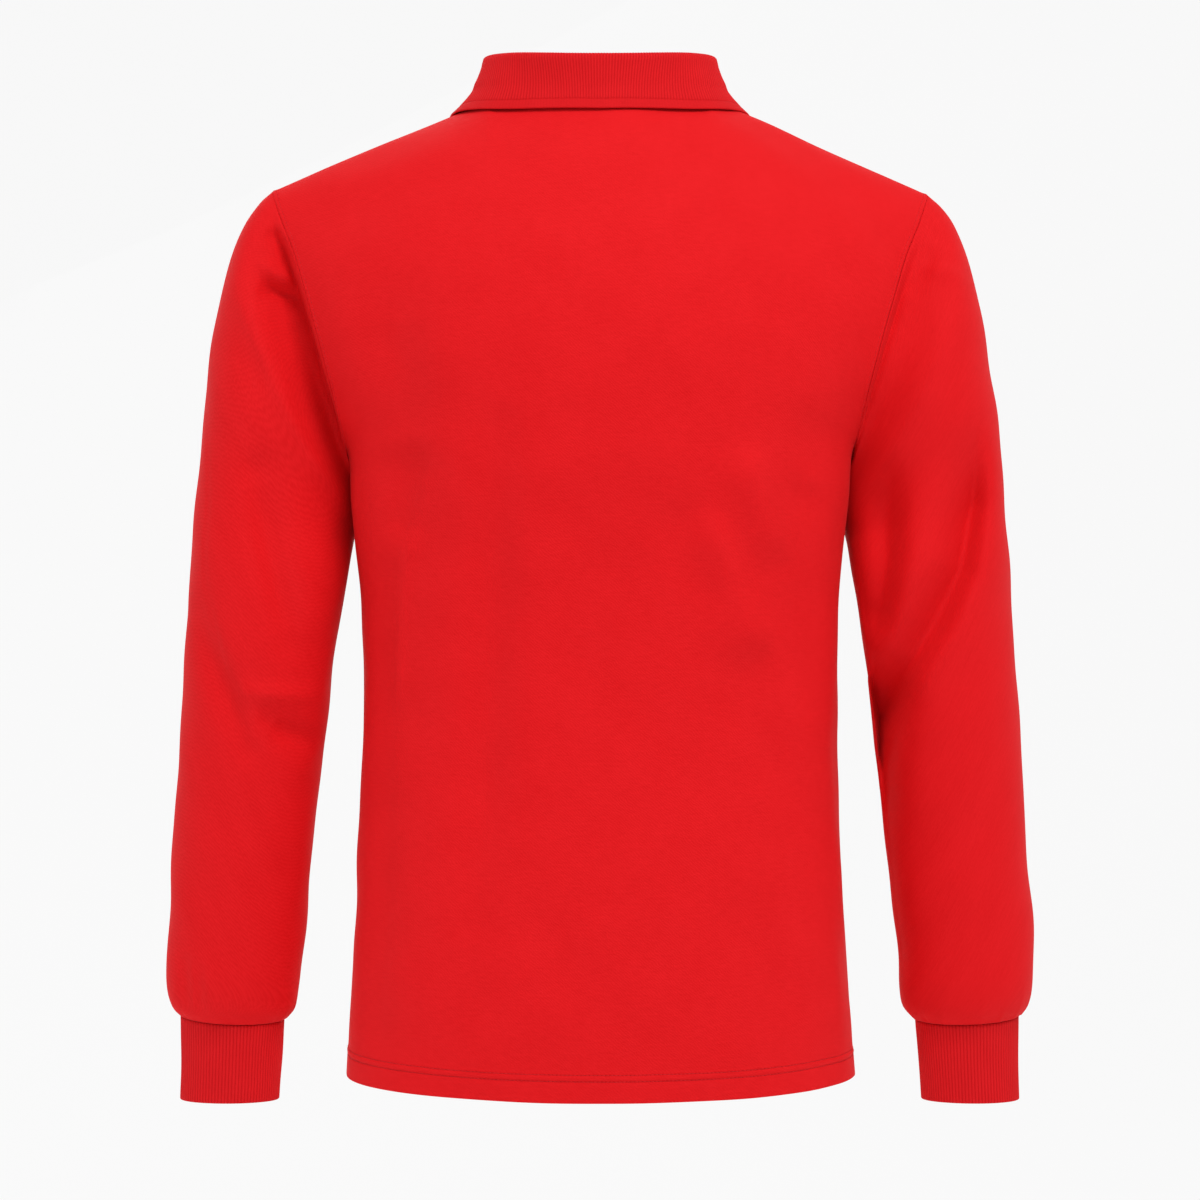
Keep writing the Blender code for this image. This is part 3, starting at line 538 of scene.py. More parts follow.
def panelForm(panel, reach, level):
    # the outer face on the wearer's left, by distance from the middle and level of the side
    roll, rounding = bodyRoll[panel], body["roundness"]
    halfWidth = smoothCurve(bodySections["height"], bodySections[panel + "HalfWidth"], level)
    edgeShare = np.clip(smoothCurve(bodySections["height"], bodySections["edgeShare"], level), 0, 1)
    edgeShare = np.where(level > body["armpitHeight"] + 1e-6, edgeShare, 0)
    top = topEdge(panel, reach)
    hem = body["hemHeight"] + body["hemSideRise"] * (reach / body["tipReach"]) ** 2
    z = hem + (top - hem) * (level - body["hemHeight"]) / (body["tipHeight"] - body["hemHeight"])
    outside = (reach - body["placketReach"]) / (body["tipReach"] - body["placketReach"])
    x = np.where(outside > 0, body["placketReach"] + (halfWidth - body["placketReach"]) * outside, reach)
    fullWidth = halfWidth / (1 - edgeShare**rounding) ** (1 / rounding)
    oval = np.clip(1 - (x / fullWidth) ** rounding, 0, 1) ** (1 / rounding)
    rise = roll["ridge"] * np.clip(1 - (reach / body["neckReach"]) ** 2, 0, 1) ** 1.5
    ridge = np.where(reach < body["neckReach"], rise, top)
    arch = roll["arch"] + (body["tipHeight"] - roll["arch"]) * (reach / body["tipReach"]) ** 2
    ridge = ridge + (arch - ridge) * ease((top - z) / body["archDepth"])
    below = np.clip((ridge - z) / roll["height"], 0, 1)
    rolled = (1 - (1 - below) ** roll["exponent"]) ** (1 / roll["exponent"])
    depth = smoothCurve(bodySections["height"], bodySections[panel + "Depth"], z) * oval * rolled
    return np.stack((x + 0 * z, depth * (1 if panel == "back" else -1), z), axis=-1)


def spacedLevels():
    # rows from the hem to the shoulder, even along one column and close at the hem and the seam
    levels = np.linspace(body["hemHeight"], body["tipHeight"], 6000)
    column = panelForm("back", np.array([[body["rowReach"]]]), levels[:, None])[:, 0]
    travelled = lengthsAlong(column[None], 1)[0]
    hem = [body["hemTurn"], *body["hemRows"]]
    for place in body["hemStitches"]:
        hem += [place + step for step in body["stitchRows"]]
    armpit = np.interp(body["armpitHeight"], levels, travelled)
    end = travelled[-1] - seamSteps[-1]
    below = np.linspace(hem[-1], armpit, round((armpit - hem[-1]) / body["rowStep"]) + 1)[1:]
    above = np.linspace(armpit, end, round((end - armpit) / body["rowStep"]) + 1)[1:-1]
    places = np.concatenate((hem, below, above, travelled[-1] - seamSteps[::-1]))
    made = np.interp(places, travelled, levels)
    made[len(hem) + len(below) - 1] = body["armpitHeight"]
    made[-1] = body["tipHeight"]
    return made, len(hem) + len(below) - 1


def spacedReaches(panel, levels):
    # each row's columns, even along the row and close together next to the seam
    made = []
    placketReach, neckReach, counts = body["placketReach"], body["neckReach"], body["columns"]
    spans = ((0, placketReach, counts["placket"]), (placketReach, neckReach, counts["neck"]))
    for start, end, count in spans:
        reach = np.linspace(start, end, 120)
        travelled = lengthsAlong(panelForm(panel, reach[None], levels[:, None]), 1)
        shares = np.linspace(0, 1, count + 1)[:-1]
        made.append([np.interp(shares * row[-1], row, reach) for row in travelled])
    reach = neckReach + (body["tipReach"] - neckReach) * (1 - (1 - np.linspace(0, 1, 1600)) ** 4)
    travelled = lengthsAlong(panelForm(panel, reach[None], levels[:, None]), 1)
    even = np.linspace(0, 1, counts["side"] + 1)[:-1]
    made.append([
        np.interp(np.concatenate((even * (row[-1] - seamSteps[-1]), row[-1] - seamSteps[::-1])), row, reach)
        for row in travelled
    ])
    return np.concatenate(made, axis=1)


def foldHeights(points, normals, table):
    heights = np.zeros(points.shape[:-1])
    for row in table:
        fold = dict(zip(foldNames, row))
        start = np.array((fold["fromX"], fold["fromZ"]))
        line = np.array((fold["toX"], fold["toZ"])) - start
        offset = points[..., (0, 2)] - start
        along = np.clip(offset @ line / (line @ line), 0, 1)
        away = np.linalg.norm(offset - along[..., None] * line, axis=-1)
        ends = np.sin(math.pi * np.clip(along, 0.08, 0.92)) ** 0.5
        seen = np.clip(normals[..., 1] * fold["facing"], 0, 1)
        heights += fold["height"] * ends * seen * bell(away, fold["halfWidth"])
    return heights


def longFoldHeights(points, normals, table):
    # folds along a curved line, steep on one side and soft on the other
    heights = np.zeros(points.shape[:-1])
    for facing, line, depth, steepWidth, softWidth, fade, sharp in table:
        line = np.array(line)
        lengths = np.linalg.norm(np.diff(line, axis=0), axis=-1)
        nearest = np.full(points.shape[:-1], 9.0)
        signed, place = np.zeros_like(nearest), np.zeros_like(nearest)
        travelled = 0.0
        for start, end, length in zip(line[:-1], line[1:], lengths):
            way = (end - start) / length
            offset = points[..., (0, 2)] - start
            along = np.clip(offset @ way, 0, length)
            away = offset - along[..., None] * way
            distance = np.linalg.norm(away, axis=-1)
            side = np.where(way[0] * offset[..., 1] - way[1] * offset[..., 0] < 0, -1, 1)
            closer = distance < nearest
            nearest = np.where(closer, distance, nearest)
            signed = np.where(closer, side * distance, signed)
            place = np.where(closer, travelled + along, place)
            travelled += length
        ends = ease(place / fade) * ease((travelled - place) / min(fade, 0.030))
        width = np.where(signed * facing < 0, steepWidth, softWidth)
        keel = np.clip(1 - np.abs(signed) / (width * 1.9), 0, 1) ** 2  # walls that meet in a line
        profile = bell(signed, width) * (1 - sharp) + keel * sharp
        heights -= depth * ends * profile * np.clip(normals[..., 1] * facing * 3, 0, 1)
    return heights


waves = {"count": 14, "lengths": (0.035, 0.12), "phases": (0, 6.28)}


def unevenness(points, seed, height):
    # the soft unevenness of cloth that nothing fills out tightly
    chance = np.random.default_rng(seed)
    heights = np.zeros(points.shape[:-1])
    for _ in range(waves["count"]):
        way = unit(chance.normal(size=3))
        wavelength = chance.uniform(*waves["lengths"])
        phase = chance.uniform(*waves["phases"])
        heights += height * np.sin(points @ way * 2 * math.pi / wavelength + phase)
    return heights


def seamProfile(distance, stitched=False):
    # cloth sinks into a seam, and swells over the turned edge up to a row of stitches
    look = overlapLook if stitched else seamLook
    made = -look["depth"] * bell(distance, look["width"])
    if stitched:
        past = distance - seamLook["stitchAt"]
        swell = ease(distance / seamLook["swellRise"]) * (1 - ease(past / seamLook["swellFall"]))
        made = made + seamLook["swell"] * swell
        made = made - seamLook["dimple"] * bell(past, seamLook["dimpleWidth"])
    return made


def bodyPanel(panel, seed):
    levels, armpitRow = spacedLevels()
    half = spacedReaches(panel, levels)
    reach = np.concatenate((half[:, :0:-1], half), axis=1)
    side = np.concatenate((-np.ones(half.shape[1] - 1), np.ones(half.shape[1])))
    plain = panelForm(panel, reach, levels[:, None]) * np.stack((side, side**2, side**2), -1)
    raised = ease((plain[..., 0] - body["neckReach"]) / body["liftReach"])
    raised = raised * ease((plain[..., 2] - body["armpitHeight"]) / body["liftRise"])
    plain[..., 2] += body["leftLift"] * raised
    facing = 1 if panel == "back" else -1
    normals = gridNormals(plain, -facing)

    middle = half.shape[1] - 1
    acrossLength = lengthsAlong(plain, 1)
    acrossLength -= acrossLength[:, middle : middle + 1]
    upLength = lengthsAlong(plain, 0)
    fromSide = np.minimum(acrossLength - acrossLength[:, :1], acrossLength[:, -1:] - acrossLength)
    fromTop = upLength[-1:] - upLength
    shoulder = ease((reach - body["neckReach"]) / body["shoulderFade"] + 1)

    top = topEdge(panel, reach)
    lift = foldHeights(plain, normals, bodyFolds)
    lift *= np.clip((body["tipReach"] - reach) / body["foldFade"], 0, 1)
    lift *= np.clip((top - plain[..., 2]) / body["foldFade"], 0, 1)
    fine = foldHeights(plain, normals, bodyCreases) + unevenness(plain, seed, body["unevenness"])
    inside = ease(fromSide / body["fineFade"]) * ease(fromTop / body["fineFade"])
    lift += fine * inside
    aboveArm = (np.arange(len(levels)) > armpitRow)[:, None]
    lift += np.where(aboveArm, seamProfile(fromSide, stitched=True), seamProfile(fromSide))
    lift += seamProfile(fromTop) * shoulder
    fromHem = upLength + body["hemTurn"]
    groove, swell, layer = body["stitchGroove"], body["hemSwell"], body["hemLayer"]
    for place in body["hemStitches"]:
        lift += groove[0] * bell(fromHem - place, groove[1])
    turned = 1 - ease((fromHem - body["hemStitches"][1]) / layer[1])
    lift += layer[0] * turned  # the cloth is double there
    lift += swell[0] * bell(fromHem - sum(body["hemStitches"]) / 2, swell[1])
    points = plain + normals * lift[..., None]
    points[..., 1] += longFoldHeights(plain, normals, bodyLongFolds) * inside
    flat = np.stack((acrossLength, fromHem), axis=-1)
    return {
        "points": points, "normals": gridNormals(points, -facing), "flat": flat, "plain": plain,
        "levels": levels, "armpitRow": armpitRow, "middle": middle, "facing": facing, "fromHem": fromHem,
    }


def turnHem(panel):
    # the cloth goes round the hem's edge and up again on the inside
    radius = body["hemTurn"]
    points, normals = panel["points"], panel["normals"]
    inside = [row for row in range(len(points)) if panel["fromHem"][row].mean() < body["hemDepth"]]
    inner = [points[row] - normals[row] * 2 * radius for row in inside]
    centre = points[0] - normals[0] * radius
    down = unit(points[0] - points[1])
    turn = [centre + (normals[0] * math.cos(a) + down * math.sin(a)) * radius
            for a in np.radians((150, 120, 90, 60, 30))]
    innerFlat = [panel["flat"][row] * (1, -1) for row in inside]
    turnFlat = [panel["flat"][0] * (1, -share) for share in (0.67, 0.33, 0, -0.33, -0.67)]
    made = np.array(inner[::-1] + turn + list(points))
    flat = np.array(innerFlat[::-1] + turnFlat + list(panel["flat"]))
    return made, flat, len(inner) + len(turn)


def makeBody(panel, name, node):
    points, flat, added = turnHem(panel)
    gone = np.zeros((len(points) - 1, points.shape[1] - 1), bool)
    if panel is front:  # cut out for the placket
        foot = added + int(np.searchsorted(panel["levels"], body["placketLevel"]))
        near = body["columns"]["placket"]
        gone[foot:, panel["middle"] - near : panel["middle"] + near] = True
    piece = clothPiece(name, points, flat, knit, -panel["facing"], cut=gone, thickness=body["thickness"])
    return settle(piece, node)


back = bodyPanel("back", 3)
front = bodyPanel("front", 5)
backCloth = makeBody(back, "backCloth", "back_panel")
frontCloth = makeBody(front, "frontCloth", "front_panel")
print("body made")


# sleeves

sleeve = {
    "columns": 160, "rowStep": 0.0030, "thickness": 0.0008, "unevenness": 0.00018,
    "armholeSpread": 2.2,  # steps of the rows beside the armhole, against those beside other seams
    "armholeFade": 6, "cuffFoldFade": 2, "foldFade": 0.012, "fineFade": 0.006,  # the first two in rings
    "sagFrom": 15.5, "seamSag": 0.0030, "seamTilt": 0.0015,
    "underSeam": {"depth": 0.0003, "width": 0.003, "radius": 0.045},  # the seam under the arm
    "hollow": {
        "left": 0.0345, "right": 0.0150, "front": 0.28, "full": 0.008, "fade": 0.016, "reach": 0.050,
        "top": 0.06, "topFade": 0.42, "armpitFade": 0.32,  # shares of the way from shoulder to armpit
    },
    "gathers": {
        "count": 17, "jitter": (-0.3, 0.3), "radius": 0.034, "width": (0.0016, 0.0034),
        "reach": (0.008, 0.026), "height": (0.0003, 0.0009), "start": 0.002,
    },
}
# rings of the left sleeve, from the armhole down; the tuck draws the inner side to the front
sleeveRings = columnsOf(("outerX", "outerZ", "innerX", "innerZ", "halfDepth", "centreY", "tuck"), (
    (0.2360, -0.0680, 0.1802, -0.2620, 0.058, 0.000, 0),  # the armhole
    (0.2450, -0.0765, 0.1798, -0.2645, 0.064, 0.001, -0.002),
    (0.2545, -0.0895, 0.1786, -0.2672, 0.067, 0.002, -0.006),
    (0.2630, -0.1085, 0.1774, -0.2702, 0.069, 0.002, -0.011),
    (0.2700, -0.1340, 0.1762, -0.2738, 0.070, 0.002, -0.017),
    (0.2765, -0.1670, 0.1752, -0.2785, 0.070, 0.002, -0.024),
    (0.2820, -0.2060, 0.1744, -0.2850, 0.069, 0.002, -0.031),
    (0.2870, -0.2480, 0.1742, -0.2950, 0.067, 0.002, -0.036),
    (0.2911, -0.2900, 0.1778, -0.3110, 0.065, 0.001, -0.028),
    (0.2944, -0.3350, 0.1822, -0.3420, 0.062, 0.000, -0.008),
    (0.2980, -0.3850, 0.1893, -0.3870, 0.059, -0.002, 0),  # elbow
    (0.3013, -0.4350, 0.1956, -0.4350, 0.056, -0.005, 0),
    (0.3048, -0.4850, 0.2012, -0.4850, 0.053, -0.009, 0),
    (0.3087, -0.5350, 0.2070, -0.5350, 0.050, -0.013, 0),
    (0.3121, -0.5800, 0.2118, -0.5800, 0.047, -0.017, 0),
    (0.3143, -0.6180, 0.2160, -0.6180, 0.0445, -0.020, 0),
    (0.3140, -0.6400, 0.2182, -0.6400, 0.042, -0.022, 0),
    (0.3106, -0.6540, 0.2208, -0.6540, 0.037, -0.023, 0),
    (0.3048, -0.6620, 0.2285, -0.6620, 0.0290, -0.024, 0),  # seam of the cuff
))
ringNumbers = np.arange(len(sleeveRings["tuck"]), dtype=float)
sleeveFolds = (
    (1, 0.262, -0.160, 0.228, -0.225, 0.014, -0.0052),
    (1, 0.242, -0.270, 0.216, -0.390, 0.013, -0.0092),
    (1, 0.288, -0.370, 0.250, -0.465, 0.010, -0.0072),
    (1, 0.250, -0.424, 0.200, -0.428, 0.007, 0.0052),  # left elbow
    (1, 0.232, -0.446, 0.198, -0.466, 0.010, -0.0100),
    (1, 0.298, -0.620, 0.297, -0.664, 0.005, -0.0036),  # gathers into the left cuff
    (1, 0.287, -0.625, 0.288, -0.664, 0.005, -0.0030),
    (1, -0.240, -0.104, -0.222, -0.136, 0.008, -0.0050),  # head of the right sleeve
    (1, -0.254, -0.130, -0.232, -0.124, 0.006, 0.0036),
    (-1, 0.276, -0.330, 0.214, -0.420, 0.018, -0.0070),
    (-1, -0.278, -0.340, -0.212, -0.410, 0.018, -0.0070),
    (-1, -0.290, -0.440, -0.236, -0.520, 0.018, -0.0056),
)
sleeveLongFolds = (
    (1, ((-0.2655, -0.2255), (-0.2662, -0.2537), (-0.2655, -0.2910), (-0.2556, -0.3382), (-0.2373, -0.3769),
         (-0.2148, -0.4128), (-0.2000, -0.4544), (-0.1972, -0.4931)),
     0.0250, 0.0084, 0.0220, 0.075, 0.35),  # sweeps across the right sleeve's elbow
    (1, ((-0.2112, -0.3945), (-0.1972, -0.4720), (-0.1915, -0.5353), (-0.1943, -0.5917), (-0.2042, -0.6410)),
     0.0235, 0.0160, 0.0280, 0.040, 0.0),  # down its inner side to the cuff
    (1, ((-0.2063, -0.2502), (-0.2056, -0.2889), (-0.2049, -0.3297), (-0.2014, -0.3593), (-0.1915, -0.3945)),
     0.0170, 0.0090, 0.0150, 0.060, 0.2),  # under its arm
    (1, ((0.2380, -0.0924), (0.2162, -0.1213)),
     0.0060, 0.0050, 0.0055, 0.012, 0.0),  # head of the left sleeve
    (1, ((0.2465, -0.1185), (0.2134, -0.1347)),
     -0.0055, 0.0050, 0.0055, 0.012, 0.0),
    (1, ((0.2450, -0.1354), (0.2084, -0.1481)),
     0.0080, 0.0050, 0.0060, 0.012, 0.0),
)
sleeveCreases = (
    (1, 0.2800, -0.228, 0.2775, -0.300, 0.0016, -0.0005),  # pressed crease of the left sleeve
    (1, 0.2782, -0.290, 0.2790, -0.350, 0.0016, -0.0006),
    (1, 0.2790, -0.345, 0.2660, -0.415, 0.0022, -0.0005),
)


def armholeLoop(side, count):
    # from the armpit up the front to the shoulder and down the back
    edge = -1 if side > 0 else 0
    down = back["plain"][back["armpitRow"] :, edge][::-1]
    up = np.concatenate((down[-1:], front["plain"][front["armpitRow"] + 1 :, edge]))
    shares = np.linspace(0, 1, count // 2 + 1)
    return np.concatenate((placesAlong(up, shares)[:-1], placesAlong(down, shares)))


def sleeveForm(side, rings):
    # ovals from the outer to the inner side, led over to the body's armhole
    angle = math.pi + np.linspace(0, 2 * math.pi, sleeve["columns"] + 1)
    at = readTable(sleeveRings, ringNumbers, rings)
    outer = np.stack((side * at["outerX"], at["centreY"], at["outerZ"]), -1)[:, None]
    inner = np.stack((side * at["innerX"], at["centreY"] + at["tuck"], at["innerZ"]), -1)[:, None]
    made = (outer + inner) / 2 + (outer - inner) / 2 * np.cos(angle)[:, None]
    made[..., 1] += at["halfDepth"][:, None] * np.sin(angle)
    fade = np.clip(1 - rings / sleeve["armholeFade"], 0, 1)[:, None, None] ** 2
    return made + (armholeLoop(side, sleeve["columns"]) - made[:1]) * fade, angle


def armholeHollow(fromArmhole, angle, side):
    # the sleeve drops behind the body's edge, most of all low down the armhole
    look = sleeve["hollow"]
    share = np.abs(np.linspace(-1, 1, fromArmhole.shape[1]))[None]  # 0 at the shoulder, 1 at the armpit
    amount = ease((share - look["top"]) / look["topFade"]) * ease((1 - share) / look["armpitFade"])
    drop = ease(fromArmhole / look["full"]) * (1 - ease((fromArmhole - look["fade"]) / look["reach"]))
    way = np.where(np.sin(angle) > 0, -1, look["front"])[None]  # the back first, then the front
    return look[side] * amount * drop * way


def gathers(angle, fromCuff, seed):
    # small pleats where the wide sleeve is sewn to the narrow cuff
    look, chance = sleeve["gathers"], np.random.default_rng(seed)
    heights = np.zeros_like(fromCuff)
    for number in range(look["count"]):
        place = math.pi + (number + chance.uniform(*look["jitter"])) / look["count"] * 2 * math.pi
        width, reach = chance.uniform(*look["width"]), chance.uniform(*look["reach"])
        height = chance.choice((-1, 1)) * chance.uniform(*look["height"])
        away = (angle - place + math.pi) % (2 * math.pi) - math.pi
        fade = ease(fromCuff / look["start"]) * bell(fromCuff, reach)
        heights += height * bell(away * look["radius"], width) * fade
    return heights


def makeSleeve(side, name, node, seed):
    dense = np.linspace(0, ringNumbers[-1], 3000)
    at = readTable(sleeveRings, ringNumbers, dense)
    travelled = lengthsAlong(np.stack((at["outerX"], at["outerZ"]), -1)[None], 1)[0]
    armholeSteps = sleeve["armholeSpread"] * seamSteps
    start, end = armholeSteps[-1], travelled[-1] - seamSteps[-1]
    even = np.linspace(start, end, round((end - start) / sleeve["rowStep"]) + 1)[1:-1]
    places = np.concatenate((armholeSteps, even, travelled[-1] - seamSteps[::-1]))
    rings = np.interp(places, travelled, dense)
    rings[-1] = ringNumbers[-1]
    plain, angle = sleeveForm(side, rings)
    plain[..., 2] += cuffSeam((rings - sleeve["sagFrom"]) / (rings[-1] - sleeve["sagFrom"]), angle, 1)
    normals = gridNormals(plain, -side, closed=True)
    fromArmhole = lengthsAlong(plain, 0)
    fromCuff = fromArmhole[-1:] - fromArmhole

    leaving = ease(fromArmhole / sleeve["foldFade"])
    lift = foldHeights(plain, normals, sleeveFolds) * leaving
    lift *= np.clip((rings[-1] - rings) / sleeve["cuffFoldFade"], 0, 1)[:, None]
    fine = foldHeights(plain, normals, sleeveCreases) + unevenness(plain, seed, sleeve["unevenness"])
    lift += fine * leaving * ease(fromCuff / sleeve["fineFade"])
    lift += gathers(angle, fromCuff, seed) + seamProfile(fromCuff)
    seam = sleeve["underSeam"]
    fromSeam = np.minimum(angle - angle[0], angle[-1] - angle) * seam["radius"]
    lift -= seam["depth"] * bell(fromSeam, seam["width"])
    points = plain + normals * lift[..., None]
    drop = longFoldHeights(plain, normals, sleeveLongFolds) * leaving * ease(fromCuff / sleeve["foldFade"])
    points[..., 1] += drop + armholeHollow(fromArmhole, angle, "left" if side > 0 else "right")
    points[:, -1] = points[:, 0]
    flat = np.stack((side * lengthsAlong(plain, 1), -fromArmhole), axis=-1)
    piece = clothPiece(name, points, flat, knit, -side, closed=True, thickness=sleeve["thickness"])
    return settle(piece, node)


def cuffSeam(share, angle, side):
    # the cuff's seam hangs lower at the back and rises at the outer side
    rise = sleeve["seamTilt"] * side * np.cos(angle) - sleeve["seamSag"] * np.sin(angle)
    return ease(share)[:, None] * rise


leftSleeve = makeSleeve(1, "leftSleeve", "sleeve_left", 11)
rightSleeve = makeSleeve(-1, "rightSleeve", "sleeve_right", 12)
print("sleeves made")


# ribs, shared by the cuffs and the collar

ribPhases = np.array((0.0, 0.16, 0.5, 0.84))  # columns of each rib, close to its groove
ribRise = np.array((0.0, 0.62, 1.0, 0.62))


def ribColumns(count):
    places = (np.arange(count)[:, None] + ribPhases).ravel() / count
    return np.append(places, 1.0), np.append(np.tile(ribRise, count), 0.0)


def addRibShade(piece, shares):
    # how high on its rib each point lies, or the collar's shaded tone, which the finish paints as shade
    # darker in the grooves
    layer = piece.data.attributes.new("ribHeight", "FLOAT", "POINT")
    layer.data.foreach_set("value", shares.astype(np.float32))


# cuffs

cuff = {
    "ribs": 94, "ribHeight": 0.00042, "turn": 0.0010, "rows": 24, "innerRows": 9, "girth": 0.2094,
    "unevenness": 0.00012, "sagReach": 0.020,
    "lowRibs": 0.45, "seamReach": 0.004, "edgeReach": 0.0035,  # the ribs are lower at the seam and the edge
}
cuffLevels = columnsOf(("height", "centreX", "centreY", "halfWidth", "halfDepth"), (
    (-0.6620, 0.2670, -0.0240, 0.0377, 0.0285),
    (-0.6880, 0.2678, -0.0250, 0.0366, 0.0278),
    (-0.7220, 0.2692, -0.0265, 0.0357, 0.0272),
))


def cuffForm(side, heights, angle, inward):
    level = readTable(cuffLevels, -cuffLevels["height"], -heights)
    centre = np.stack((side * level["centreX"], level["centreY"], heights), -1)[:, None]
    sizes = np.stack((level["halfWidth"] - inward, level["halfDepth"] - inward, 0 * heights), -1)[:, None]
    reach = np.stack((np.cos(angle), np.sin(angle), 0 * angle), -1)[None]
    return centre + reach * sizes, unit(reach / np.where(sizes > 0, sizes, 1))


def makeCuff(side, name, node, seed):
    # down the outer face, round the edge, up the inner face and closed at the seam
    places, rise = ribColumns(cuff["ribs"])
    angle = places * 2 * math.pi
    top, bottom, turn = cuffLevels["height"][0], cuffLevels["height"][-1], cuff["turn"]
    outer = np.linspace(top, bottom + turn, cuff["rows"])
    inner = np.linspace(bottom + turn, top, cuff["innerRows"])
    turns = np.radians((30, 60, 90, 120, 150))
    heights = np.concatenate((outer, bottom + turn - np.sin(turns) * turn, inner))
    inward = np.concatenate((0 * outer, (1 - np.cos(turns)) * turn, 0 * inner + 2 * turn))
    points, normals = cuffForm(side, heights, angle, inward)
    points[..., 2] += cuffSeam(1 - (top - heights) / cuff["sagReach"], angle, side)
    low = cuff["lowRibs"]
    amount = low + (1 - low) * ease((top - heights) / cuff["seamReach"])
    amount = amount * (low + (1 - low) * ease((heights - bottom - turn / 2) / cuff["edgeReach"]))
    amount[len(outer) + 2 :] *= -1
    ribs = (rise - 1) * cuff["ribHeight"]
    wave = unevenness(points, seed, cuff["unevenness"])
    points = points + normals * (amount[:, None] * ribs + wave)[..., None]
    points[:, -1] = points[:, 0]
    points = np.concatenate((points, points[:1]))
    tall = np.append(heights, heights[0])[:, None]
    flat = np.stack(np.broadcast_arrays(places[None] * cuff["girth"], tall), -1)
    piece = clothPiece(name, points, flat, ribKnit, side)
    # painted shade: the cuff's rib grooves are coloured darker by their low places
    addRibShade(piece, np.broadcast_to(rise, points.shape[:2]).ravel())
    weld(piece, 2e-6)
    return settle(piece, node)


leftCuff = makeCuff(1, "leftCuff", "cuff_left", 21)
rightCuff = makeCuff(-1, "rightCuff", "cuff_right", 22)
print("cuffs made")


# the collar: one rib band that stands, folds and falls

collar = {
    "ribs": 232, "ribHeight": 0.00034, "wall": 0.0016, "foldRadius": 0.0034, "fallBow": -0.0025,
    "girth": 0.410, "clearance": 0.0036, "seamGap": 0.0003, "frontShare": 0.993, "rows": 34,
    "pathShares": 121, "pathSteps": (9, 17, 25),  # up the stand, over the fold and down the fall
    "evenings": ((26, 6, True), (36, 40, False)),  # first row, passes, whether up and down too
    "weltDepth": 0.0065, "weltStart": -0.0004, "weltEase": 0.0012, "weltWidth": 0.00045,
    "weltRibs": 0.28, "weltGroove": 0.00035, "weltSwell": 0.00012, "innerDip": 0.0002,
    "plainTone": 0.62, "weltRibShade": 0.18, "weltLineShade": 0.55,  # share of the light colour on plain parts, the share of the ribs' painted groove shade kept below the welt, and the painted shade along the welt's line
    "edgeTurns": (25, 55, 90, 125, 155), "endTurns": (35, 65, 90),  # degrees
    "edgeSteps": (0.0, 0.0006, 0.0014, 0.0026, 0.0040, 0.0053, 0.0060, 0.0065, 0.0070, 0.0078),
}
collarSections = columnsOf(("share", "stand", "lean", "edgeX", "edgeY", "edgeZ"), (
    (0.00, 0.0337, 0.00, 0.000, 0.0672, -0.0130),
    (0.18, 0.0335, 0.00, 0.042, 0.0575, -0.0108),
    (0.32, 0.0330, 0.00, 0.079, 0.0400, -0.0092),
    (0.43, 0.0315, 0.02, 0.101, 0.0150, -0.0062),
    (0.52, 0.0285, 0.04, 0.1105, -0.0100, -0.0107),
    (0.64, 0.0265, 0.12, 0.100, -0.0410, -0.0290),
    (0.80, 0.0245, 0.20, 0.078, -0.0660, -0.0600),
    (0.91, 0.0235, 0.24, 0.055, -0.0770, -0.0790),
    (1.00, 0.0230, 0.25, 0.034, -0.0840, -0.0920),
))


def neckLine():
    # the neckline on the wearer's left, from the middle of the back to the middle of the front
    middle = back["middle"]
    neck = middle + body["columns"]["placket"] + body["columns"]["neck"]
    behind = back["plain"][-1, middle : neck + 1]
    before = front["plain"][-1, middle:neck][::-1]
    return np.concatenate((behind, before))


def bodyTree():
    # the body's outer face, for what lies on it
    points, faces = [], []
    for panel in (back, front):
        rows, columns = panel["points"].shape[:2]
        number = np.arange(rows * columns).reshape(rows, columns) + len(points)
        points += panel["points"].reshape(-1, 3).tolist()
        quads = np.stack((number[:-1, :-1], number[:-1, 1:], number[1:, 1:], number[1:, :-1]), -1)
        faces += quads.reshape(-1, 4)[:, :: -panel["facing"]].tolist()
    return BVHTree.FromPolygons(points, faces)


def laidOn(tree, points, clearance, onlyIfClose=False):
    laid = []
    for point in points:
        found, normal, _, _ = tree.find_nearest(Vector(point))
        close = (Vector(point) - found).dot(normal) < clearance or not onlyIfClose
        laid.append(np.array(found + normal * clearance) if close else point)
    return np.array(laid)


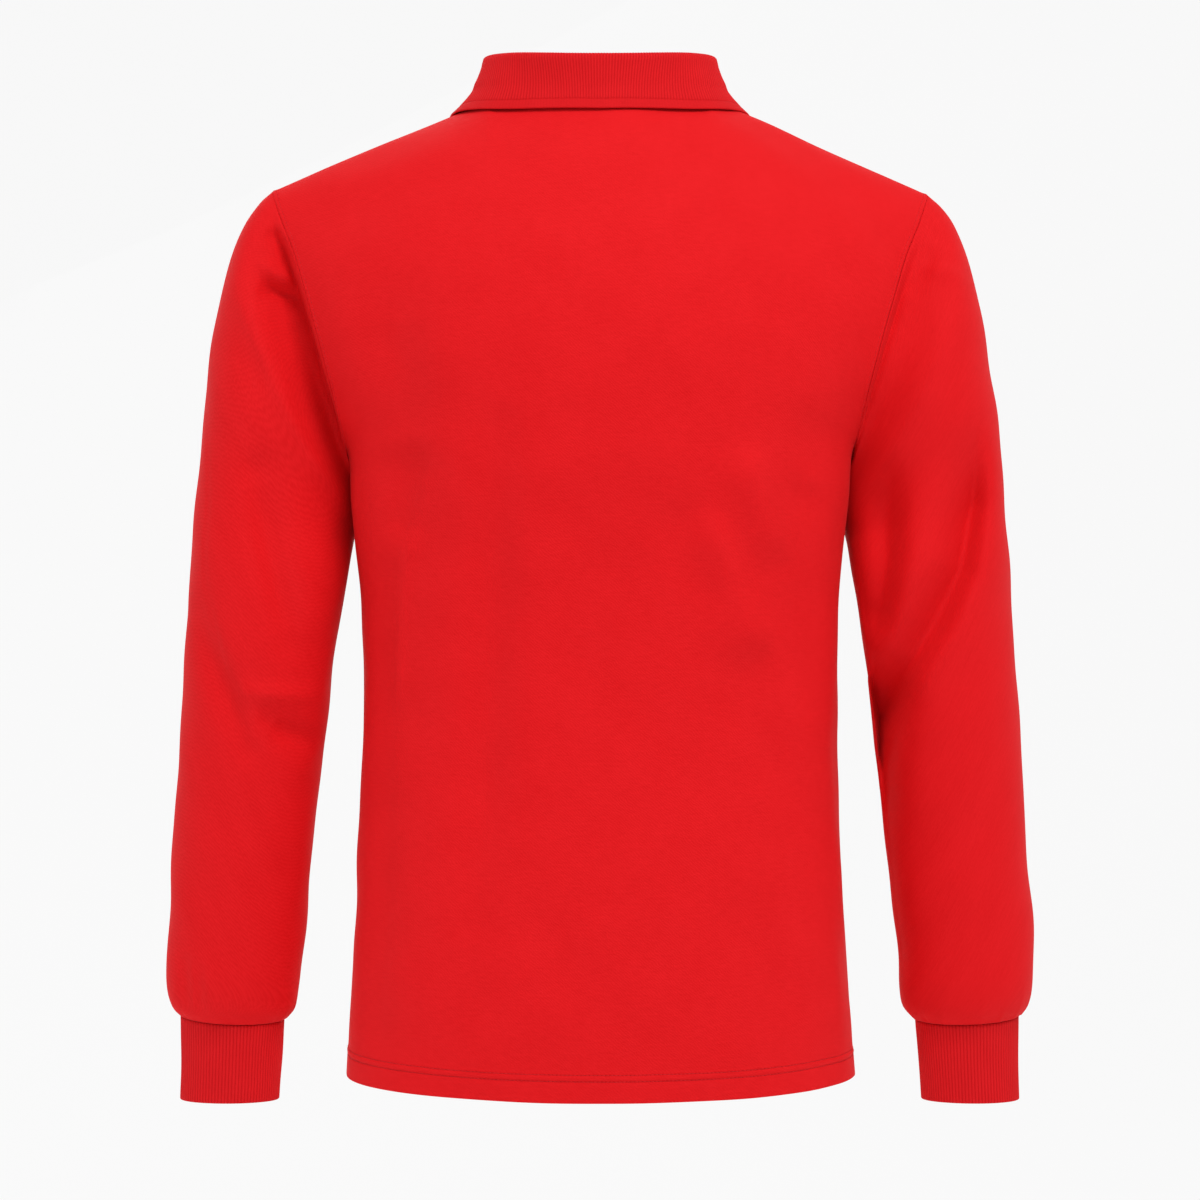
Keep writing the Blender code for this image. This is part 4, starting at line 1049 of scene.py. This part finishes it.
def collarPath(shares, neck, tree):
    # the shown face of the collar for each share: up the stand, over the fold, down the fall
    table = readTable(collarSections, collarSections["share"], shares)
    at = {name: values[:, None] for name, values in table.items()}
    line = placesAlong(neck, shares)
    run = placesAlong(neck, shares + 0.01) - placesAlong(neck, shares - 0.01)
    out = unit(np.stack((-run[:, 1], run[:, 0], 0 * run[:, 0]), -1))
    up = unit(np.array((0, 0, 1)) - out * at["lean"])
    foot = line + up * collar["seamGap"] - out * collar["wall"]
    standTop = line - out * collar["wall"] + up * (at["stand"] - collar["foldRadius"])
    edge = np.concatenate((at["edgeX"], at["edgeY"], at["edgeZ"]), axis=1)
    edge = laidOn(tree, edge, collar["clearance"])
    centre = standTop + out * collar["foldRadius"]
    fall = edge - centre
    last = np.arctan2((fall * out).sum(-1, keepdims=True), -(fall * up).sum(-1, keepdims=True))
    standSteps, foldSteps, fallSteps = collar["pathSteps"]
    rows = [foot + (standTop - foot) * share for share in np.linspace(0, 1, standSteps)[:-1]]
    for share in np.linspace(0, 1, foldSteps):
        turn = math.pi + (last - math.pi) * share
        ray = out * np.cos(turn) + up * np.sin(turn)
        rows.append(centre + ray * collar["foldRadius"])
    over = rows[-1]
    for share in np.linspace(0, 1, fallSteps)[1:]:
        place = over + (edge - over) * share + ray * collar["fallBow"] * math.sin(math.pi * share)
        rows.append(laidOn(tree, place, collar["clearance"], onlyIfClose=True))
    return np.array(rows)


def evenPath(shares, neck, tree):
    # the path with its fall evened out, and its rows spaced evenly but for the edge
    path = collarPath(shares, neck, tree)
    for first, passes, downToo in collar["evenings"]:
        fall = path[first:]
        for _ in range(passes):
            before = np.concatenate((fall[:, 1:2] * (-1, 1, 1), fall[:, :-2]), axis=1)
            fall[:, :-1] = fall[:, :-1] / 2 + (before + fall[:, 1:]) / 4
            if downToo:
                path[first:-1] = path[first:-1] / 2 + (path[first - 1 : -2] + path[first + 1 :]) / 4
    travelled = lengthsAlong(path, 0)
    steps = np.array(collar["edgeSteps"])
    columns = []
    for known, line in zip(travelled.T, path.transpose(1, 0, 2)):
        even = np.linspace(0, known[-1] - steps[-1], collar["rows"] - len(steps) + 1)[:-1]
        columns.append(readLine(np.concatenate((even, known[-1] - steps[::-1])), known, line))
    return np.array(columns).transpose(1, 0, 2)


def makeCollar(neck, tree):
    coarse = np.linspace(0, collar["frontShare"], collar["pathShares"])
    path = evenPath(coarse, neck, tree)
    places, rise = ribColumns(collar["ribs"])
    shares = (places * 2 - 1) * collar["frontShare"]
    grid = np.array([
        np.stack([smoothCurve(coarse, row[:, k], np.abs(shares)) for k in range(3)], -1) for row in path
    ])
    grid[..., 0] *= np.where(shares < 0, -1, 1)
    normals = gridNormals(grid, 1)
    if normals[2, len(shares) // 2, 1] > 0:  # the stand's shown face looks at the neck
        normals = -normals

    # the ribs are low below the welt's line, which sinks in
    upLength = lengthsAlong(grid, 0)
    fromWelt = upLength[-1:] - upLength - collar["weltDepth"]
    welt = ease((fromWelt - collar["weltStart"]) / collar["weltEase"])
    weltLine = bell(fromWelt, collar["weltWidth"])
    ribs = rise[None] * (collar["weltRibs"] + (1 - collar["weltRibs"]) * welt) * collar["ribHeight"]
    relief = collar["weltSwell"] * (1 - welt) - collar["weltGroove"] * weltLine
    shown = grid + normals * (ribs + relief)[..., None]
    hidden = grid - normals * (collar["wall"] + ribs * 0.5 - collar["innerDip"])[..., None]
    middle, reachOut = (shown + hidden) / 2, (shown - hidden) / 2

    # round the edge, and round both front ends
    radius = np.linalg.norm(reachOut[-1], axis=-1, keepdims=True)
    down = unit(grid[-1] - grid[-2])
    turns = np.radians(collar["edgeTurns"])
    below = [middle[-1] + down * radius * math.sin(a) for a in turns]
    centreLine = np.concatenate((middle, below, middle[::-1]))
    edge = [place + reachOut[-1] * math.cos(a) for place, a in zip(below, turns)]
    loop = np.concatenate((shown, edge, hidden[::-1]))
    ends = []
    for column, inner in ((0, 1), (-1, -2)):
        centre = centreLine[:, column]
        ahead = unit(centre - centreLine[:, inner])
        across = loop[:, column] - centre
        size = np.linalg.norm(across[0])
        endTurns = np.radians(collar["endTurns"])
        ends.append([centre + across * math.cos(a) + ahead * size * math.sin(a) for a in endTurns])
    points = np.stack(ends[0][::-1] + list(loop.transpose(1, 0, 2)) + ends[1], axis=1)
    points = np.concatenate((points, points[:1]))

    length = collar["frontShare"] * collar["girth"]
    around = np.concatenate(((0,) * 3, places * length, (length,) * 3))
    tall = np.concatenate((upLength[:, 0], np.full(5, upLength[-1, 0]), upLength[::-1, 0], upLength[:1, 0]))
    flat = np.stack(np.broadcast_arrays(around[None], tall[:, None]), -1)
    # painted shade: darker in each rib's groove, fainter where the ribs are low, and darkest along the
    # welt's line
    plain, low = collar["plainTone"], collar["weltRibShade"]
    shadedTone = plain + (rise[None] - plain) * (low + (1 - low) * welt) - collar["weltLineShade"] * weltLine
    shadedTone = np.concatenate((shadedTone, np.full((5, shadedTone.shape[1]), plain), shadedTone[::-1], shadedTone[:1]))
    shadedTone = np.concatenate((shadedTone[:, :1],) * 3 + (shadedTone,) + (shadedTone[:, -1:],) * 3, axis=1)
    piece = clothPiece("ribCollar", points, flat, ribKnit, 1)
    addRibShade(piece, shadedTone.ravel())
    weld(piece, 3e-6)
    return settle(piece, "collar")


ribCollar = makeCollar(neckLine(), bodyTree())
print("collar made")


# the placket: an upper band over an under band

placket = {
    "upper": {"reach": 0.0171, "foot": -0.2465, "lift": 0.0018, "thickness": 0.0014, "edgeDrop": 0.0009},
    "under": {"reach": 0.0163, "foot": -0.2386, "lift": -0.0012, "thickness": 0.0012, "edgeDrop": 0.0},
    "columns": 34, "rowStep": 0.0018, "top": -0.069, "stitchInset": 0.0025, "boxHeight": 0.0200,
    "unevenness": 0.00005, "edgeRoll": 0.0014, "stitchGroove": (-0.00025, 0.0005),
}


def bandGrid(look):
    # a strip of the front from the foot of the placket to the neckline
    reaches = np.linspace(-look["reach"], look["reach"], placket["columns"] + 1)
    lines = np.array([readLine(reaches, row[:, 0], row) for row in front["points"]])
    count = round((placket["top"] - look["foot"]) / placket["rowStep"])
    made = []
    for line in lines.transpose(1, 0, 2):
        travelled = lengthsAlong(line[None], 1)[0]
        start = np.interp(look["foot"], line[:, 2], travelled)
        made.append(readLine(np.linspace(start, travelled[-1], count), travelled, line))
    return np.array(made).transpose(1, 0, 2)


def makeBand(name, node, look, seed):
    grid = bandGrid(look)
    across, upward = lengthsAlong(grid, 1), lengthsAlong(grid, 0)
    fromEdge = np.minimum(np.minimum(across, across[:, -1:] - across), upward)
    lift = look["lift"] - look["edgeDrop"] * (1 - ease(fromEdge / placket["edgeRoll"]))
    lift += unevenness(grid, seed, placket["unevenness"])
    if look["edgeDrop"]:
        height, width = placket["stitchGroove"]
        lift += height * bell(fromEdge - placket["stitchInset"], width)
    points = grid + gridNormals(grid, 1) * lift[..., None]
    flat = np.stack((across - across[:, -1:] / 2, upward), -1)
    piece = clothPiece(name, points, flat, knit, 1, thickness=look["thickness"])
    return settle(piece, node), points


upperBand, upperPoints = makeBand("placketUpperBand", "placket_upper_band", placket["upper"], 31)
underBand, _ = makeBand("placketUnderBand", "placket_under_band", placket["under"], 32)
upperNormals = gridNormals(upperPoints, 1)
print("placket made")


# buttons with their thread, and the buttonholes under them

button = {
    "heights": (-0.0945, -0.1505, -0.2065), "radius": 0.0055, "thickness": 0.0024, "gap": 0.0004,
    "rimHalfWidth": 0.00085, "plateLow": 0.0004, "plateHigh": 0.0015, "holeReach": 0.00105,
    "holeRadius": 0.00052, "bar": (0.00045, 0.0012075, 0.00039), "barLift": 0.0001,  # half sizes
    "shank": {"segments": 12, "radius1": 0.0013, "radius2": 0.0011, "depth": 0.0012}, "shankDrop": 0.0002,
    "holeReachUp": 0.0068, "holeSteps": 12, "holeHalfWidth": 0.0005,  # of the buttonhole
}


def buttonPlace(height):
    # on the upper band's middle line, facing out of it
    middle = placket["columns"] // 2
    line = upperPoints[:, middle]
    place = readLine(height, line[:, 2], line)
    out = unit(unit(readLine(height, line[:, 2], upperNormals[:, middle])) * (0, 1, 1))
    side = np.array((1.0, 0, 0))
    return placed((side, np.cross(out, side), out), place + out * button["gap"])


def makeButton(number, height):
    # a plate with four holes inside a rounded rim
    bm = bmesh.new()
    radius, half, rimMiddle = button["radius"], button["rimHalfWidth"], button["thickness"] / 2
    reach = button["holeReach"]
    holes = [Vector((x * reach, y * reach)) for x in (-1, 1) for y in (-1, 1)]
    bmesh.ops.create_circle(bm, segments=48, radius=radius - half * 1.4)
    for hole in holes:
        place = Matrix.Translation((*hole, 0))
        bmesh.ops.create_circle(bm, segments=14, radius=button["holeRadius"], matrix=place)
    bmesh.ops.triangle_fill(bm, use_beauty=True, edges=bm.edges[:], normal=(0, 0, 1))
    inHole = [face for face in bm.faces if any(
        (face.calc_center_median().xy - hole).length < button["holeRadius"] * 0.9 for hole in holes
    )]
    bmesh.ops.delete(bm, geom=inHole, context="FACES_ONLY")
    bmesh.ops.translate(bm, verts=bm.verts, vec=(0, 0, button["plateLow"]))
    raised = bmesh.ops.extrude_face_region(bm, geom=bm.faces[:], use_keep_orig=True)
    upper = [item for item in raised["geom"] if isinstance(item, bmesh.types.BMVert)]
    bmesh.ops.translate(bm, verts=upper, vec=(0, 0, button["plateHigh"] - button["plateLow"]))
    upright = Matrix.Rotation(math.pi / 2, 4, "X")
    rim = bmesh.ops.create_circle(bm, segments=12, radius=1, matrix=upright)["verts"]
    bmesh.ops.scale(bm, verts=rim, vec=(half, 1, rimMiddle))
    bmesh.ops.translate(bm, verts=rim, vec=(radius - half, 0, rimMiddle))
    ring = list({edge for vert in rim for edge in vert.link_edges})
    bmesh.ops.spin(
        bm, geom=[*rim, *ring], cent=(0, 0, 0), axis=(0, 0, 1), angle=2 * math.pi, steps=48, use_merge=True
    )
    bmesh.ops.remove_doubles(bm, verts=bm.verts, dist=1e-7)
    bmesh.ops.recalc_face_normals(bm, faces=bm.faces)
    bmesh.ops.transform(bm, matrix=buttonPlace(height), verts=bm.verts)
    settle(newPiece(f"button{number}", bm, buttonPlastic), f"button_{number}")


def makeButtonThread():
    # two bars of thread over each button, and the thread that holds it
    bm = bmesh.new()
    size = Matrix.Diagonal((*button["bar"], 1))
    low = Matrix.Translation((0, 0, button["plateLow"] / 2 - button["shankDrop"]))
    for height in button["heights"]:
        place = buttonPlace(height)
        for x in (-button["holeReach"], button["holeReach"]):
            at = Matrix.Translation((x, 0, button["plateHigh"] + button["barLift"]))
            bmesh.ops.create_uvsphere(bm, u_segments=10, v_segments=8, radius=1, matrix=place @ at @ size)
        bmesh.ops.create_cone(bm, cap_ends=True, matrix=place @ low, **button["shank"])
    settle(newPiece("buttonThread", bm, thread))


for number, height in enumerate(button["heights"], 1):
    makeButton(number, height)
makeButtonThread()
print("buttons made")


# stitches

stitchLook = {
    "hem": {"pitch": 0.0028, "lift": 0.00016, "thread": 0.00030, "ends": (0.14, 0.86)},
    # painted shade: dark dots sunk at the ends of each hem stitch
    "hemHoleShade": {"pitch": 0.0028, "lift": -0.00005, "thread": 0.00036, "ends": (-0.10, 0.10)},
    "topstitch": {"pitch": 0.0026, "lift": 0.00010, "thread": 0.00022, "ends": (0.12, 0.88)},
    "buttonhole": {"pitch": 0.00055, "lift": 0.00012, "thread": 0.00038, "ends": (0.12, 0.88)},
}


def hemLine(panel, place):
    # a level line round the hem, and the ways out of it
    columns = range(panel["points"].shape[1])
    return [
        np.array([readLine(place, panel["fromHem"][:, i], panel[kind][:, i]) for i in columns])
        for kind in ("points", "normals")
    ]


def stitchBody():
    # two rows round the hem, with dark dots of painted shade at their needle holes, and one beside each
    # armhole's seam
    rows, holes = [], []
    for panel in (back, front):
        for place in body["hemStitches"]:
            line = hemLine(panel, place)
            rows.append((*line, stitchLook["hem"]))
            holes.append((*line, stitchLook["hemHoleShade"]))
        inset = int(np.argmin(np.abs(seamSteps - seamLook["stitchAt"])))
        for column in (inset, panel["points"].shape[1] - 1 - inset):
            above = (slice(panel["armpitRow"], None), column)
            rows.append((panel["points"][above], panel["normals"][above], stitchLook["topstitch"]))
    stitchRows("bodyStitches", rows, thread)
    # dark dots of painted shade at the hem's needle holes
    stitchRows("needleHoleShades", holes, needleHoleShade)


def stitchPlacket():
    # along both edges and round the foot of the upper band, and round each buttonhole
    inset = round(placket["stitchInset"] / (2 * placket["upper"]["reach"] / placket["columns"]))
    low = round(placket["stitchInset"] / placket["rowStep"])
    high = low + round(placket["boxHeight"] / placket["rowStep"])
    last, middle = placket["columns"] - inset, placket["columns"] // 2
    lines = [(slice(low, None), column) for column in (inset, last)]
    lines += [(row, slice(inset, last + 1)) for row in (low, high)]
    rows = [(upperPoints[line], upperNormals[line], stitchLook["topstitch"]) for line in lines]
    line = upperPoints[:, middle]
    for height in button["heights"]:
        ends = height - button["holeReachUp"], height + button["holeReachUp"]
        heights = np.linspace(*ends, button["holeSteps"])
        places = readLine(heights, line[:, 2], line)
        ways = readLine(heights, line[:, 2], upperNormals[:, middle])
        for aside in (-button["holeHalfWidth"], button["holeHalfWidth"]):
            rows.append((places + (aside, 0, 0), ways, stitchLook["buttonhole"]))
    stitchRows("placketStitches", rows, thread)


stitchBody()
stitchPlacket()
print("stitches made")
